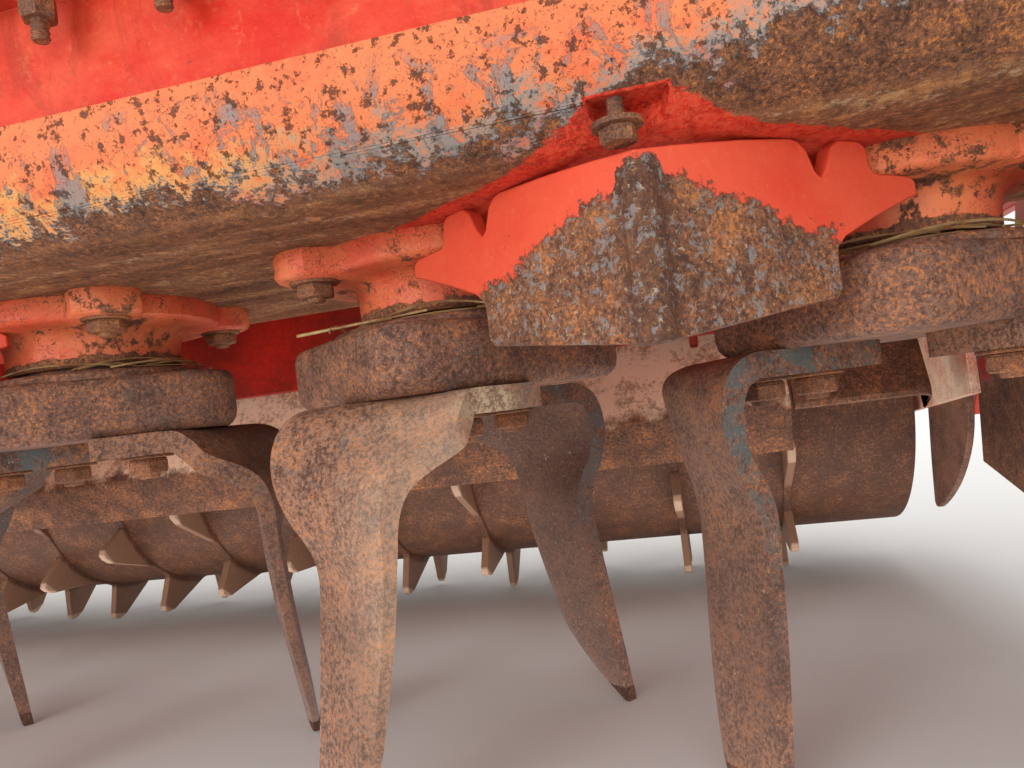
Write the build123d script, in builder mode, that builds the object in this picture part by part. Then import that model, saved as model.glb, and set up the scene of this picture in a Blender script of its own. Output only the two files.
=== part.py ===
from build123d import *
from math import cos, radians, sin
import os

os.makedirs("parts", exist_ok=True)

# Power harrow, millimetres. The pieces are drawn about the line of the rotor axes,
# with the ground at Z = 0, the tractor towards -Y and the packer roller towards +Y,
# and they are written about the middle of the machine's footprint.

# Rotors
rotor_count = 10
rotor_pitch = 300.0
rotor_turn = 37.0           # how far every second rotor stands turned at rest
gear_play = 5.0             # degrees between neighbouring rotors
running_gap = 0.05          # between a shaft and its bore
holder_under = 268.0        # height of the holders' undersides
holder_thick = 44.0
holder_long = 196.0
holder_wide = 172.0
holder_corner = 34.0
holder_edge = 6.0
tier_radius = 84.0
round_sides = 20            # of the tiers and the housings' necks, which are drawn many-sided
tier_thick = 6.0
shaft_radius = 32.0
shaft_reach = 34.0          # above the tier, up inside the housing

# Tines: forged, out under the holder, over the bend and down to a knife
pitch_margin = 4.0          # between a rotor's tines and half the pitch
tine_thick = 16.0
tongue_near = 8.0           # the tongue's two edges, beside the rotor's middle
tongue_far = 88.0
neck_height = 175.0         # where the blade stands furthest in
knife_thick = 9.0

# Bearing housings
neck_radius = 63.0
neck_gap = 5.0              # between a holder's tier and the neck above it
flange_thick = 18.0
flange_radius = 96.0
lobe_reach = 122.0
flange_lobes = 4

# Trough and cover
end_margin = 20.0           # of the trough beyond half a pitch from the last rotor
trough_under = 370.0
belly_half = 206.0          # half the width across the rounded belly
belly_top = 431.0
belly_corner = 52.0
wall_half = 199.0
trough_top = 495.0
rim_half = 236.0
rim_thick = 8.0
cover_thick = 8.0
end_plate_thick = 12.0
end_plate_margin = 14.0
pocket_radius = 19.0
pocket_sides = 10
pocket_top = 387.0

# Stone guards
guard_thick = 10.0
guard_vertex = 190.0        # ahead of the rotor line
guard_slope = 0.75          # rearward for each unit outward
guard_half = 146.0
guard_tab_top = 352.0
guard_tab_low = 339.0
guard_low = 273.0
guard_corner_low = 288.0
guard_corner_half = 94.0
guard_notch_half = 90.5
guard_notch_low = 348.0
guard_step_half = 118.0
guard_arc_high = 318.0

# Headstock, for category 2 linkage
beam_size = 100.0
beam_long = 1500.0
beam_line = 150.0
lower_pin_spread = 825.0    # between the shoulders of the lower link pins
lower_pin_radius = 14.0
lower_pin_long = 75.0
lower_pin_ahead = 430.0
lower_pin_height = 560.0
top_hole_radius = 12.85
top_hole_ahead = 345.0
top_hole_height = 1130.0
link_plate = 20.0
mast_bend = 690.0           # where the legs turn inward
mast_leg = 70.0
mast_deep = 60.0
mast_gap = 52.0             # between the two cheeks of the top link
cheek_thick = 18.0
stay_size = 50.0
stay_foot = 300.0

# Gearbox and shafts
gearbox_wide = 260.0
gearbox_tall = 235.0
input_height = 684.0
input_radius = 17.45
input_long = 115.0
journal_radius = 22.5
boss_radius = 60.0
boss_long = 107.0
guard_wide = 180.0
guard_long = 190.0

# Levelling bar and rear panel
sheet = 8.0
bar_top = (252.0, 326.0)
bar_fold = (208.0, 226.0)
bar_lip = (232.0, 184.0)
panel_top = 470.0
panel_low = 300.0
bracket_gap = 6.0           # between the roller's end and the bar's brackets
end_piece = 150.0           # the bar's end pieces, which have no lip
leaf_plate = 6.0

# Packer roller
roller_behind = 553.0
roller_radius = 190.0
tooth_height = 55.0
tooth_spread = 12.0         # degrees from a tooth's tip to the end of its root
ring_turn = 12.0            # degrees from one ring's teeth to the next ring's
ring_rise = 3.0             # of the rings above the drum, between the teeth
tooth_count = 10
ring_count = 22
drum_sides = 20
ring_thick = 9.0
drum_inset = 70.0           # of the roller's end from the trough's end
stub_radius = 30.0
drum_wall = 10.0
end_disc = 12.0
end_recess = 25.0
arm_clearance = 8.0         # between an arm and the side plate's studs
arm_thick = 16.0
arm_pivot = (-120.0, 440.0)
arm_pin_radius = 20.0
frame_tube = 90.0
frame_tube_place = (640.0, 560.0)
stop_place = (-60.0, 505.3)
stop_radius = 15.0
scraper_gap = 6.0
scraper_wide = 90.0
scraper_thick = 6.0

# Side plates
side_gap = 5.6              # between a side plate and the trough's end plate
side_thick = 8.0
side_travel = 100.0         # how far a side plate can be raised on its studs
side_front = 190.0          # ahead of the rotor line
side_rear = 455.0
side_low = 60.0             # of a lowered side plate above the ground
side_high = 300.0
stud_places = ((40.0, 440.0), (210.0, 440.0))
stud_radius = 10.0
washer_radius = 20.0
washer_thick = 4.0

# Worked out
first_rotor = -rotor_pitch * (rotor_count - 1) / 2
holder_top = holder_under + holder_thick
tier_top = holder_top + tier_thick
neck_low = tier_top + neck_gap
flange_low = trough_under - flange_thick
cover_top = trough_top + rim_thick + cover_thick
roller_axis = roller_radius + tooth_height
tip_radius = roller_radius + tooth_height
root_radius = roller_radius + ring_rise
tine_reach = rotor_pitch / 2 - pitch_margin     # to the outside of the bend
trough_long = rotor_count * rotor_pitch + 2 * end_margin
end_face = trough_long / 2 + end_plate_thick
side_line = end_face + side_gap
drum_half = trough_long / 2 - drum_inset
bracket_line = drum_half + bracket_gap
hanger_places = (rotor_pitch, bracket_line - end_piece - 81)
ring_pitch = 2 * drum_half / (ring_count + 1.2)
arm_line = side_line + side_thick + washer_thick + arm_clearance + arm_thick / 2
frame_front = -(lower_pin_ahead + 45.0)
frame_rear = roller_behind + tip_radius
shift_y = -(frame_front + frame_rear) / 2
pieces = {}


def rotor_x(index):
    return first_rotor + index * rotor_pitch


def rotor_angle(index):
    """Neighbouring rotors turn opposite ways and stand a quarter turn apart in mesh."""
    return rotor_turn if index % 2 else 90.0 - rotor_turn - gear_play


def rotor_hand(index):
    return 1 if index % 2 else -1


def arc_points(y, z, radius, start, end, steps):
    """Points along an arc from one angle to another, as (y, z)."""
    turns = [radians(start + (end - start) * step / steps) for step in range(steps + 1)]
    return [(y + radius * cos(turn), z + radius * sin(turn)) for turn in turns]


def disc(x, y, low, high, radius, sides=0):
    """An upright cylinder between two heights, or a prism where its sides are given."""
    with BuildSketch(Plane.XY.offset(low)) as face:
        with Locations((x, y)):
            if sides:
                RegularPolygon(radius, sides)
            else:
                Circle(radius)
    extrude(face.sketch, amount=high - low)


def cross_bar(y, z, x_from, x_to, radius, mode=Mode.ADD):
    """A cylinder along X."""
    with BuildSketch(Plane.YZ.offset(x_from)) as face:
        with Locations((y, z)):
            Circle(radius)
    extrude(face.sketch, amount=x_to - x_from, mode=mode)


def plate_across(points, x_from, x_to, corner=0.0):
    """A plate square to X, from its outline as (y, z) points."""
    with BuildSketch(Plane.YZ.offset(x_from)) as outline:
        with BuildLine():
            Polyline(*points, close=True)
        make_face()
        if corner:
            fillet(outline.vertices(), corner)
    extrude(outline.sketch, amount=x_to - x_from)


# Trough with a rounded belly, and a pocket above each stone guard
guard_places = [(rotor_x(i) + rotor_x(i + 1)) / 2 for i in range(0, rotor_count - 1, 2)]
with BuildPart() as trough:
    with BuildSketch(Plane.YZ.offset(-trough_long / 2)) as belly:
        with BuildLine():
            Polyline(
                (-belly_half, belly_top), (-belly_half, trough_under),
                (belly_half, trough_under), (belly_half, belly_top), close=True,
            )
        make_face()
        fillet(belly.vertices().group_by(Axis.Y)[0], belly_corner)
    extrude(amount=trough_long)
    with BuildSketch(Plane.XY.offset(belly_top)):
        Rectangle(trough_long, 2 * wall_half)
    extrude(amount=trough_top - belly_top)
    with BuildSketch(Plane.XY.offset(trough_top)):
        Rectangle(trough_long, 2 * rim_half)
    extrude(amount=rim_thick)
    with BuildSketch(Plane.XY.offset(trough_under - 5)):
        with Locations(*[(x, -guard_vertex) for x in guard_places]):
            RegularPolygon(pocket_radius, pocket_sides)
    extrude(amount=pocket_top - trough_under + 5, mode=Mode.SUBTRACT)
pieces["trough"] = trough.part

with BuildPart() as trough_cover:
    with BuildSketch(Plane.XY.offset(trough_top + rim_thick)):
        Rectangle(trough_long, 2 * rim_half)
    extrude(amount=cover_thick)
pieces["trough_cover"] = trough_cover.part

with BuildPart() as end_plates:
    m = end_plate_margin
    for side in (-1, 1):
        x_from = side * trough_long / 2 - (end_plate_thick if side < 0 else 0)
        plate_across(
            [(-rim_half, cover_top + m), (-rim_half, trough_under + 40), (-rim_half + 60, trough_under - m),
             (rim_half - 60, trough_under - m), (rim_half, trough_under + 40), (rim_half, cover_top + m)],
            x_from, x_from + end_plate_thick)
pieces["trough_end_plates"] = end_plates.part

# Bearing housings: a necked casting with four lobes under the trough
flange_shape = []
for lobe in range(flange_lobes):
    for turn, reach in ((-15, 104), (-8, lobe_reach), (8, lobe_reach), (15, 104), (45, flange_radius)):
        at = radians(45 + lobe * 360 / flange_lobes + turn)
        flange_shape.append((reach * cos(at), reach * sin(at)))
with BuildPart() as housings:
    for index in range(rotor_count):
        x = rotor_x(index)
        disc(x, 0, neck_low, flange_low, neck_radius, round_sides)
        with BuildSketch(Plane.XY.offset(flange_low)):
            with BuildLine():
                Polyline(*[(x + u, v) for u, v in flange_shape], close=True)
            make_face()
        extrude(amount=flange_thick)
        with BuildSketch(Plane.XY.offset(neck_low)):
            with Locations((x, 0)):
                Circle(shaft_radius + running_gap)
        extrude(amount=trough_under - neck_low, mode=Mode.SUBTRACT)
pieces["bearing_housings"] = housings.part

# Stone guards: plates bent to a V, their tabs cut to pass under the housings
with BuildPart() as guards:
    wing_run = (1 + guard_slope ** 2) ** 0.5
    for x in guard_places:
        for side in (-1, 1):
            wing = Plane(
                origin=(x, -guard_vertex, 0),
                x_dir=(side / wing_run, guard_slope / wing_run, 0),
                z_dir=(side * guard_slope / wing_run, -1 / wing_run, 0) if side > 0
                else (guard_slope / wing_run, 1 / wing_run, 0),
            )
            with BuildSketch(wing):
                with BuildLine():
                    Polyline(
                        (0, guard_low), (0, trough_under),
                        (82 * wing_run, trough_under), (guard_notch_half * wing_run, guard_notch_low),
                        (98 * wing_run, trough_under), (guard_step_half * wing_run, trough_under),
                        (guard_step_half * wing_run, guard_tab_top), (guard_half * wing_run, guard_tab_top),
                        (guard_half * wing_run, guard_tab_low),
                        (guard_corner_half * wing_run, guard_arc_high),
                        (guard_corner_half * wing_run, guard_corner_low),
                        close=True,
                    )
                make_face()
            extrude(amount=-side * guard_thick)
pieces["stone_guards"] = guards.part

# Sections along a tine. Each gives its near and far corners outside and then inside, as
# (set in from the tine's reach, height, distance from the tongue's inner side).
top = holder_under
low = holder_under - tine_thick
near = tongue_near
far = tongue_far
neck = neck_height
tine_sections = [
    ((134, top, near), (152, top, far), (152, low, far), (134, low, near)),
    ((31, top, near), (98, top, far), (102, low, far), (31, low, near)),
    ((9, top - 11, near), (88, top - 10, far + 9), (92, low - 8, far + 9), (22, low - 4, near)),
    ((0, top - 30, near + 1), (79, top - 20, far + 14), (83, low - 18, far + 14), (16, low - 16, near + 1)),
    ((3, top - 56, near + 3), (38, top - 46, far + 1), (51, low - 40, far + 1), (18, low - 38, near + 3)),
    ((19, neck, near + 6), (29, neck + 7, far - 3), (44, neck + 5, far - 3), (34, neck, near + 6)),
    ((17, neck * 0.68, near + 5), (23, neck * 0.68, far - 11), (38, neck * 0.68, far - 11), (32, neck * 0.68, near + 5)),
    ((11, neck * 0.34, near + 2), (16, neck * 0.34, far - 22), (29, neck * 0.34, far - 22), (25, neck * 0.34, near + 2)),
    ((7, neck * 0.14, near + 1), (10, neck * 0.14, far - 46), (20, neck * 0.14, far - 46),
     (19, neck * 0.14, near + 1)),
    ((4, 0, near + 1), (5, 0, near + 10), (4 + knife_thick - 1, 0, near + 10), (4 + knife_thick, 0, near + 1)),
]


def tine(x, turn, hand):
    """One forged tine, a skin of flat facets between its sections."""
    c = cos(radians(turn))
    s = sin(radians(turn))
    rings = [
        [Vector(x + c * (tine_reach - inset) + hand * s * t, s * (tine_reach - inset) - hand * c * t, z)
         for inset, z, t in section]
        for section in tine_sections]
    facets = [Face(Wire.make_polygon(ring)) for ring in (rings[0], rings[-1])]
    for one, two in zip(rings, rings[1:]):
        for i in range(4):
            j = (i + 1) % 4
            facets.append(Face(Wire.make_polygon([one[i], one[j], two[j]])))
            facets.append(Face(Wire.make_polygon([one[i], two[j], two[i]])))
    return Solid(Shell(facets))


# Rotors: a forged holder with its shaft, and two tines below it
for index in range(rotor_count):
    x = rotor_x(index)
    angle = rotor_angle(index)
    hand = rotor_hand(index)
    with BuildPart() as holder:
        with BuildSketch(Plane.XY.offset(holder_under)):
            with Locations(Location((x, 0, 0), (0, 0, angle))):
                block = Rectangle(holder_long, holder_wide)
                chamfer(block.vertices(), holder_corner * 0.6)
        extrude(amount=holder_thick)
        chamfer(holder.faces().sort_by(Axis.Z)[0].edges(), holder_edge)
        disc(x, 0, holder_top, tier_top, tier_radius, round_sides)
        disc(x, 0, tier_top, tier_top + shaft_reach, shaft_radius)
    pieces[f"holder_{index + 1}"] = holder.part

    with BuildPart() as tines:
        for turn in (angle, angle + 180):
            add(tine(x, turn, hand))
    pieces[f"tines_{index + 1}"] = tines.part

# Headstock: two beams on the cover, plates for the lower links, and the mast
with BuildPart() as beams:
    for y in (-beam_line, beam_line):
        with BuildSketch(Plane.YZ.offset(-beam_long / 2)):
            with Locations((y, cover_top + beam_size / 2)):
                Rectangle(beam_size, beam_size)
        extrude(amount=beam_long)
pieces["headstock_beams"] = beams.part

beam_top = cover_top + beam_size
with BuildPart() as link_plates:
    for side in (-1, 1):
        inner = side * (lower_pin_spread / 2 - link_plate)
        x_from = min(inner, inner + side * link_plate)
        plate_across(
            [(beam_line + 40, beam_top), (beam_line + 40, beam_top + 50),
             (-beam_line, beam_top + 90), (-lower_pin_ahead - 30, lower_pin_height + 110),
             (-lower_pin_ahead - 45, lower_pin_height - 30), (-lower_pin_ahead + 20, lower_pin_height - 50),
             (-beam_line - beam_size / 2, cover_top + 15), (-beam_line - beam_size / 2, beam_top)],
            x_from, x_from + link_plate)
pieces["lower_link_plates"] = link_plates.part

with BuildPart() as mast:
    mast_foot = lower_pin_spread / 2 - link_plate
    mast_back = -top_hole_ahead + mast_deep / 2
    head_low = top_hole_height - 60
    head_half = mast_gap / 2 + cheek_thick
    with BuildSketch(Plane.XZ.offset(-mast_back)) as legs:
        with BuildLine():
            Polyline(
                (-mast_foot, lower_pin_height), (-mast_foot, mast_bend),
                (-head_half, head_low), (head_half, head_low),
                (mast_foot, mast_bend), (mast_foot, lower_pin_height),
                (mast_foot - mast_leg, lower_pin_height), (mast_foot - mast_leg, mast_bend - 20),
                (head_half - mast_leg * 0.45, head_low - mast_leg * 1.3),
                (-head_half + mast_leg * 0.45, head_low - mast_leg * 1.3),
                (-mast_foot + mast_leg, mast_bend - 20), (-mast_foot + mast_leg, lower_pin_height), close=True,
            )
        make_face()
    extrude(amount=mast_deep)
    for side in (-1, 1):
        cheek = side * mast_gap / 2
        x_from = min(cheek, cheek + side * cheek_thick)
        plate_across(
            [(-top_hole_ahead - 45, head_low - 40), (-top_hole_ahead - 45, top_hole_height + 20),
             (-top_hole_ahead - 20, top_hole_height + 45), (-top_hole_ahead + 20, top_hole_height + 45),
             (-top_hole_ahead + 60, head_low)],
            x_from, x_from + cheek_thick)
        cross_bar(-top_hole_ahead, top_hole_height, x_from, x_from + cheek_thick, top_hole_radius, Mode.SUBTRACT)
        with BuildLine() as run:
            Line(
                (side * head_half * 0.6, mast_back - 20, head_low - 60),
                (side * stay_foot, beam_line, beam_top + stay_size * 0.2),
            )
        with BuildSketch(Plane(origin=run.line @ 0, z_dir=run.line % 0)) as section:
            Rectangle(stay_size, stay_size)
        sweep(section.sketch, path=run.line)
    with BuildSketch(Plane.XY.offset(beam_top)):
        Rectangle(3 * stay_foot, 4 * beam_line)
    extrude(amount=-3 * beam_size, mode=Mode.SUBTRACT)
pieces["mast"] = mast.part

with BuildPart() as lower_pins:
    for side in (-1, 1):
        x_from = side * lower_pin_spread / 2 if side > 0 else -lower_pin_spread / 2 - lower_pin_long
        cross_bar(-lower_pin_ahead, lower_pin_height, x_from, x_from + lower_pin_long, lower_pin_radius)
pieces["lower_link_pins"] = lower_pins.part

# Gearbox, with its input shaft towards the tractor and the shaft's guard
gearbox_face = beam_line - beam_size / 2 - 2
boss_face = gearbox_face + boss_long
with BuildPart() as gearbox:
    with BuildSketch(Plane.XY.offset(cover_top)):
        body = Rectangle(gearbox_wide, 2 * gearbox_face)
        chamfer(body.vertices(), 24)
    extrude(amount=gearbox_tall)
    chamfer(gearbox.faces().sort_by(Axis.Z)[-1].edges(), 14)
    with BuildSketch(Plane.XZ.offset(gearbox_face - 20)):
        with Locations((0, input_height)):
            Circle(boss_radius)
    extrude(amount=boss_long + 20)
    with BuildSketch(Plane.XZ.offset(gearbox_face - 20)):
        with Locations((0, input_height)):
            Circle(journal_radius + running_gap)
    extrude(amount=boss_long + 20, mode=Mode.SUBTRACT)
pieces["gearbox"] = gearbox.part

with BuildPart() as input_shaft:
    with BuildSketch(Plane.XZ.offset(gearbox_face - 20)):
        with Locations((0, input_height)):
            Circle(journal_radius)
    extrude(amount=boss_long + 20)
    with BuildSketch(Plane.XZ.offset(boss_face)):
        with Locations((0, input_height)):
            Circle(input_radius)
    extrude(amount=input_long)
pieces["input_shaft"] = input_shaft.part

with BuildPart() as shaft_guard:
    with BuildSketch(Plane.XZ.offset(gearbox_face)):
        with BuildLine():
            Polyline(
                (-guard_wide / 2, input_height - 50), (-guard_wide / 2, input_height + 35),
                (-guard_wide / 4, input_height + 85), (guard_wide / 4, input_height + 85),
                (guard_wide / 2, input_height + 35), (guard_wide / 2, input_height - 50),
            )
        trace(line_width=5)
    extrude(amount=guard_long)
pieces["shaft_guard"] = shaft_guard.part

# Levelling bar, rear panel and their brackets
with BuildPart() as levelling_bar:
    for fold_line, half in (
        ((bar_top, bar_fold, bar_lip), bracket_line - end_piece),
        ((bar_top, bar_fold), bracket_line),
    ):
        with BuildSketch(Plane.YZ.offset(-half)):
            with BuildLine():
                Polyline(*fold_line)
            trace(line_width=sheet)
        extrude(amount=2 * half)
pieces["levelling_bar"] = levelling_bar.part

with BuildPart() as rear_panel:
    with BuildSketch(Plane.XZ.offset(-belly_half)):
        with Locations((0, (panel_top + panel_low) / 2)):
            Rectangle(2 * (bracket_line + sheet + 6), panel_top - panel_low)
    extrude(amount=-sheet)
pieces["rear_panel"] = rear_panel.part

panel_back = belly_half + sheet
with BuildPart() as bar_brackets:
    for side in (-1, 1):
        x_from = side * bracket_line - (sheet if side < 0 else 0)
        plate_across(
            [(panel_back, panel_top - 15), (panel_back, bar_fold[1] - 10), (bar_top[0] + 173, bar_fold[1] - 33),
             (bar_top[0] + 90, bar_top[1] - 35), (bar_top[0] + 10, bar_top[1] + 19),
             (panel_back + 30, panel_top - 15)],
            x_from, x_from + sheet)
pieces["bar_brackets"] = bar_brackets.part

with BuildPart() as leaf_plates:
    for side in (-1, 1):
        x_from = side * (bracket_line + sheet) - (leaf_plate if side < 0 else 0)
        plate_across(
            [(262, 232), (256, 190), (265, 160), (294, 126), (334, 104), (380, 93), (421, 91), (383, 200), (375, 232)],
            x_from, x_from + leaf_plate)
pieces["leaf_plates"] = leaf_plates.part

with BuildPart() as bar_hangers:
    lean = (bar_top[0] - bar_fold[0]) / (bar_top[1] - bar_fold[1])
    face_low = bar_fold[0] + (290 - bar_fold[1]) * lean - sheet / 2 * (1 + lean ** 2) ** 0.5
    face_high = face_low + 34 * lean
    for x in [side * place for side in (-1, 1) for place in hanger_places]:
        plate_across(
            [(panel_back, panel_top - 30), (panel_back, panel_low + 4), (face_low, 290), (face_high, 324),
             (panel_back + 26, panel_top - 60)],
            x - sheet / 2, x + sheet / 2)
pieces["bar_hangers"] = bar_hangers.part

# Packer roller: a drum with staggered rings of pointed teeth, and the stubs that it turns on
side_turn = 360.0 / drum_sides


def drum_section(radius, x_from, x_to, mode=Mode.ADD):
    """A length of the many-sided drum."""
    with BuildSketch(Plane.YZ.offset(min(x_from, x_to))) as section:
        with BuildLine():
            Polyline(*arc_points(roller_behind, roller_axis, radius, -90, 270 - side_turn, drum_sides - 1), close=True)
        make_face()
    extrude(section.sketch, amount=abs(x_to - x_from), mode=mode)


with BuildPart() as roller:
    drum_section(roller_radius, -drum_half, drum_half)
    disc_at = drum_half - end_recess - end_disc
    drum_section(roller_radius - drum_wall, -disc_at, disc_at, Mode.SUBTRACT)
    for side in (-1, 1):
        drum_section(roller_radius - drum_wall, side * (drum_half - end_recess), side * drum_half, Mode.SUBTRACT)
    first_ring = -ring_pitch * (ring_count - 1) / 2
    for ring in range(ring_count):
        tips = []
        for tooth in range(tooth_count):
            middle = -90.0 - ring * ring_turn + tooth * 360.0 / tooth_count
            for turn, reach in ((-tooth_spread, root_radius), (0, tip_radius), (tooth_spread, root_radius)):
                at = radians(middle + turn)
                tips.append((roller_behind + reach * cos(at), roller_axis + reach * sin(at)))
        with BuildSketch(Plane.YZ.offset(first_ring + ring * ring_pitch - ring_thick / 2)):
            with BuildLine():
                Polyline(*tips, close=True)
            make_face()
        extrude(amount=ring_thick)
pieces["roller"] = roller.part

with BuildPart() as roller_stubs:
    for side in (-1, 1):
        inner, outer = side * (drum_half - end_recess), side * (arm_line + arm_thick / 2)
        cross_bar(roller_behind, roller_axis, min(outer, inner), max(outer, inner), stub_radius)
pieces["roller_stubs"] = roller_stubs.part

# Roller arms outside the end plates, and the tube between them that carries the scrapers
tube_y, tube_z = frame_tube_place
for name, side in (("left", -1), ("right", 1)):
    with BuildPart() as arm:
        x_from = side * arm_line - arm_thick / 2
        plate_across(
            [(arm_pivot[0] - 55, arm_pivot[1] + 50), (arm_pivot[0] - 55, arm_pivot[1] - 45),
             (roller_behind - 133, arm_pivot[1] - 45), (roller_behind - 70, roller_axis - 20), (roller_behind - 25, roller_axis - 70),
             (roller_behind + 25, roller_axis - 70), (roller_behind + 70, roller_axis - 20),
             (tube_y + 60, tube_z - 60), (tube_y + 60, tube_z + 60), (tube_y - 60, tube_z + 60),
             (tube_y - 120, arm_pivot[1] + 50)],
            x_from, x_from + arm_thick)
        cross_bar(roller_behind, roller_axis, x_from, x_from + arm_thick, stub_radius + running_gap, Mode.SUBTRACT)
        cross_bar(*arm_pivot, x_from, x_from + arm_thick, arm_pin_radius + running_gap, Mode.SUBTRACT)
    pieces[f"roller_arm_{name}"] = arm.part

with BuildPart() as cross_tube:
    with BuildSketch(Plane.YZ.offset(-arm_line + arm_thick / 2)):
        with Locations(frame_tube_place):
            Rectangle(frame_tube, frame_tube)
    extrude(amount=2 * arm_line - arm_thick)
pieces["roller_cross_tube"] = cross_tube.part

with BuildPart() as arm_stops:
    for side in (-1, 1):
        x_from = side * end_face
        x_to = side * (arm_line + arm_thick / 2 + 6)
        cross_bar(*stop_place, min(x_from, x_to), max(x_from, x_to), stop_radius)
pieces["arm_stops"] = arm_stops.part

with BuildPart() as arm_pins:
    for side in (-1, 1):
        x_from = side * end_face
        x_to = side * (arm_line + arm_thick / 2 + 10)
        cross_bar(*arm_pivot, min(x_from, x_to), max(x_from, x_to), arm_pin_radius)
pieces["arm_pins"] = arm_pins.part

with BuildPart() as scrapers:
    for gap in range(ring_count - 1):
        x = first_ring + (gap + 0.5) * ring_pitch
        reach_y = roller_behind + (roller_radius + scraper_gap) * cos(radians(25))
        reach_z = roller_axis + (roller_radius + scraper_gap) * sin(radians(25))
        hang_y = frame_tube_place[0] + frame_tube / 2
        plate_across(
            [(hang_y, frame_tube_place[1] - 30), (hang_y + scraper_thick, frame_tube_place[1] - 30),
             (hang_y + scraper_thick + 60, 380), (reach_y + 10, reach_z - 6), (reach_y, reach_z),
             (hang_y + 60, 380)],
            x - scraper_wide / 2, x + scraper_wide / 2)
pieces["scrapers"] = scrapers.part

# Side plates on slotted ears, held by two studs each
with BuildPart() as studs:
    for side in (-1, 1):
        for y, z in stud_places:
            head = side_line + side_thick + 0.3
            cross_bar(y, z, min(side * end_face, side * head), max(side * end_face, side * head), stud_radius)
            for start, end in ((end_face, side_line - 0.3), (head, side_line + side_thick + washer_thick)):
                with BuildSketch(Plane.YZ.offset(min(side * start, side * end))):
                    with Locations((y, z)):
                        RegularPolygon(washer_radius, 8)
                extrude(amount=end - start)
pieces["side_plate_studs"] = studs.part

ear_top = stud_places[0][1] + 32
for name, side in (("left", -1), ("right", 1)):
    with BuildPart() as side_plate:
        x_from = side * side_line - (side_thick if side < 0 else 0)
        plate_across(
            [(-side_front, side_high), (-side_front, side_low + 50), (-side_front + 40, side_low),
             (side_rear - 125, side_low + 35), (side_rear, side_low + 65), (side_rear - 25, side_high - 40),
             (stud_places[1][0] + 90, side_high + 30), (stud_places[1][0] + 36, ear_top),
             (stud_places[0][0] - 36, ear_top), (stud_places[0][0] - 100, side_high)],
            x_from, x_from + side_thick)
        with BuildSketch(Plane.YZ.offset(x_from)) as slots:
            with Locations(*[(y, z - side_travel / 2) for y, z in stud_places]):
                SlotCenterToCenter(side_travel, 2 * (stud_radius + 0.3), rotation=90)
        extrude(slots.sketch, amount=side_thick, mode=Mode.SUBTRACT)
    pieces[f"side_plate_{name}"] = side_plate.part

for name, piece in pieces.items():
    placed = piece.moved(Location((0, shift_y, 0)))
    placed.label = name
    export_step(placed, f"parts/{name}.step")
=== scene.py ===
import random
from math import cos, pi, radians, sin

import bmesh
import bpy
from bpy.props import FloatProperty, FloatVectorProperty, IntProperty, PointerProperty
from mathutils import Matrix, Vector


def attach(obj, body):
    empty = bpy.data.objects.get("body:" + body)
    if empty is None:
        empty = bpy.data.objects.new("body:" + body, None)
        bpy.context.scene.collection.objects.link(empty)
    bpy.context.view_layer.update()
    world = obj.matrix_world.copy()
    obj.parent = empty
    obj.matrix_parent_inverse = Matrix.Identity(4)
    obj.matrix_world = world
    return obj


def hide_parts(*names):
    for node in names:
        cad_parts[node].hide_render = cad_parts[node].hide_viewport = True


bl_info = {
    "name": "Power harrow",
    "version": (1, 0, 0),
    "blender": (4, 2, 0),
    "location": "View3D > Sidebar > Harrow",
    "description": "Dresses the power harrow's solids with worn paint, rust and small parts",
    "category": "Add Mesh",
}

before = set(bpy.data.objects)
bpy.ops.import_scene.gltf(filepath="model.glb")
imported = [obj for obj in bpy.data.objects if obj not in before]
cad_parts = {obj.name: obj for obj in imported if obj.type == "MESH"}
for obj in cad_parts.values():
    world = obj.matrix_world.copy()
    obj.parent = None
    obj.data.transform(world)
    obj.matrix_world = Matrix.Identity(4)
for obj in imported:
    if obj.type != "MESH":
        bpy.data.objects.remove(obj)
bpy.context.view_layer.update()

# Places on the machine. Y is measured from the line of the rotors' axes and grows to the rear.
SHIFT = -0.1615                 # of that line from the middle of the footprint, in metres
SIDES = (-1, 1)
ROTORS = 10
PITCH = 300.0                   # between rotors; this and all that follow in millimetres
TONGUE_UNDER = 252
TINE_TIP = 0.3                  # the lowest that a tine's tip comes
GUARD_PLACES = (-1200, -600, 0, 600, 1200)
GUARD_FOLD, GUARD_SLOPE = -190, 0.75
RIM_UNDER, COVER_TOP, BEAM_TOP = 495, 511, 611
LID_SEAT, LID_TOP = 753, 762
INPUT_HEIGHT = 684
SHAFT_RADIUS, SPLINE_DEPTH = 17.45, 2.6
PIN_Y, PIN_Z, LINCH_X = -430, 560, 466
CHEEK_FACE = 412.5
ROLLER_Y, ROLLER_Z = 553.0, 245.0
DRUM_RADIUS, DRUM_HALF = 190.0, 1450.0
RINGS, TEETH = 22, 10
RING_PITCH = 2 * DRUM_HALF / 23.2
RING_TURN = 12.0                # degrees from one ring's teeth to the next ring's
ARM_FACE, ARM_PIN_Y, ARM_PIN_Z = 1573.6, -120, 440
BRACKET_LINE, LEAF_LINE = 1456, 1464


def paint_value(red, green, blue):
    """A colour as a screen shows it, 0 to 255, turned to the linear value that a shader takes."""
    return tuple(part / 12.92 if part <= 0.04045 else ((part + 0.055) / 1.055) ** 2.4
                 for part in (red / 255, green / 255, blue / 255))


def colour(name, description, *value):
    return FloatVectorProperty(
        name=name, description=description, subtype="COLOR", size=3, min=0.0, max=1.0, default=paint_value(*value))


def length(name, description, value):
    return FloatProperty(
        name=name, description=description, default=value, min=0.0, soft_max=5.0, unit="LENGTH", subtype="DISTANCE")


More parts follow.
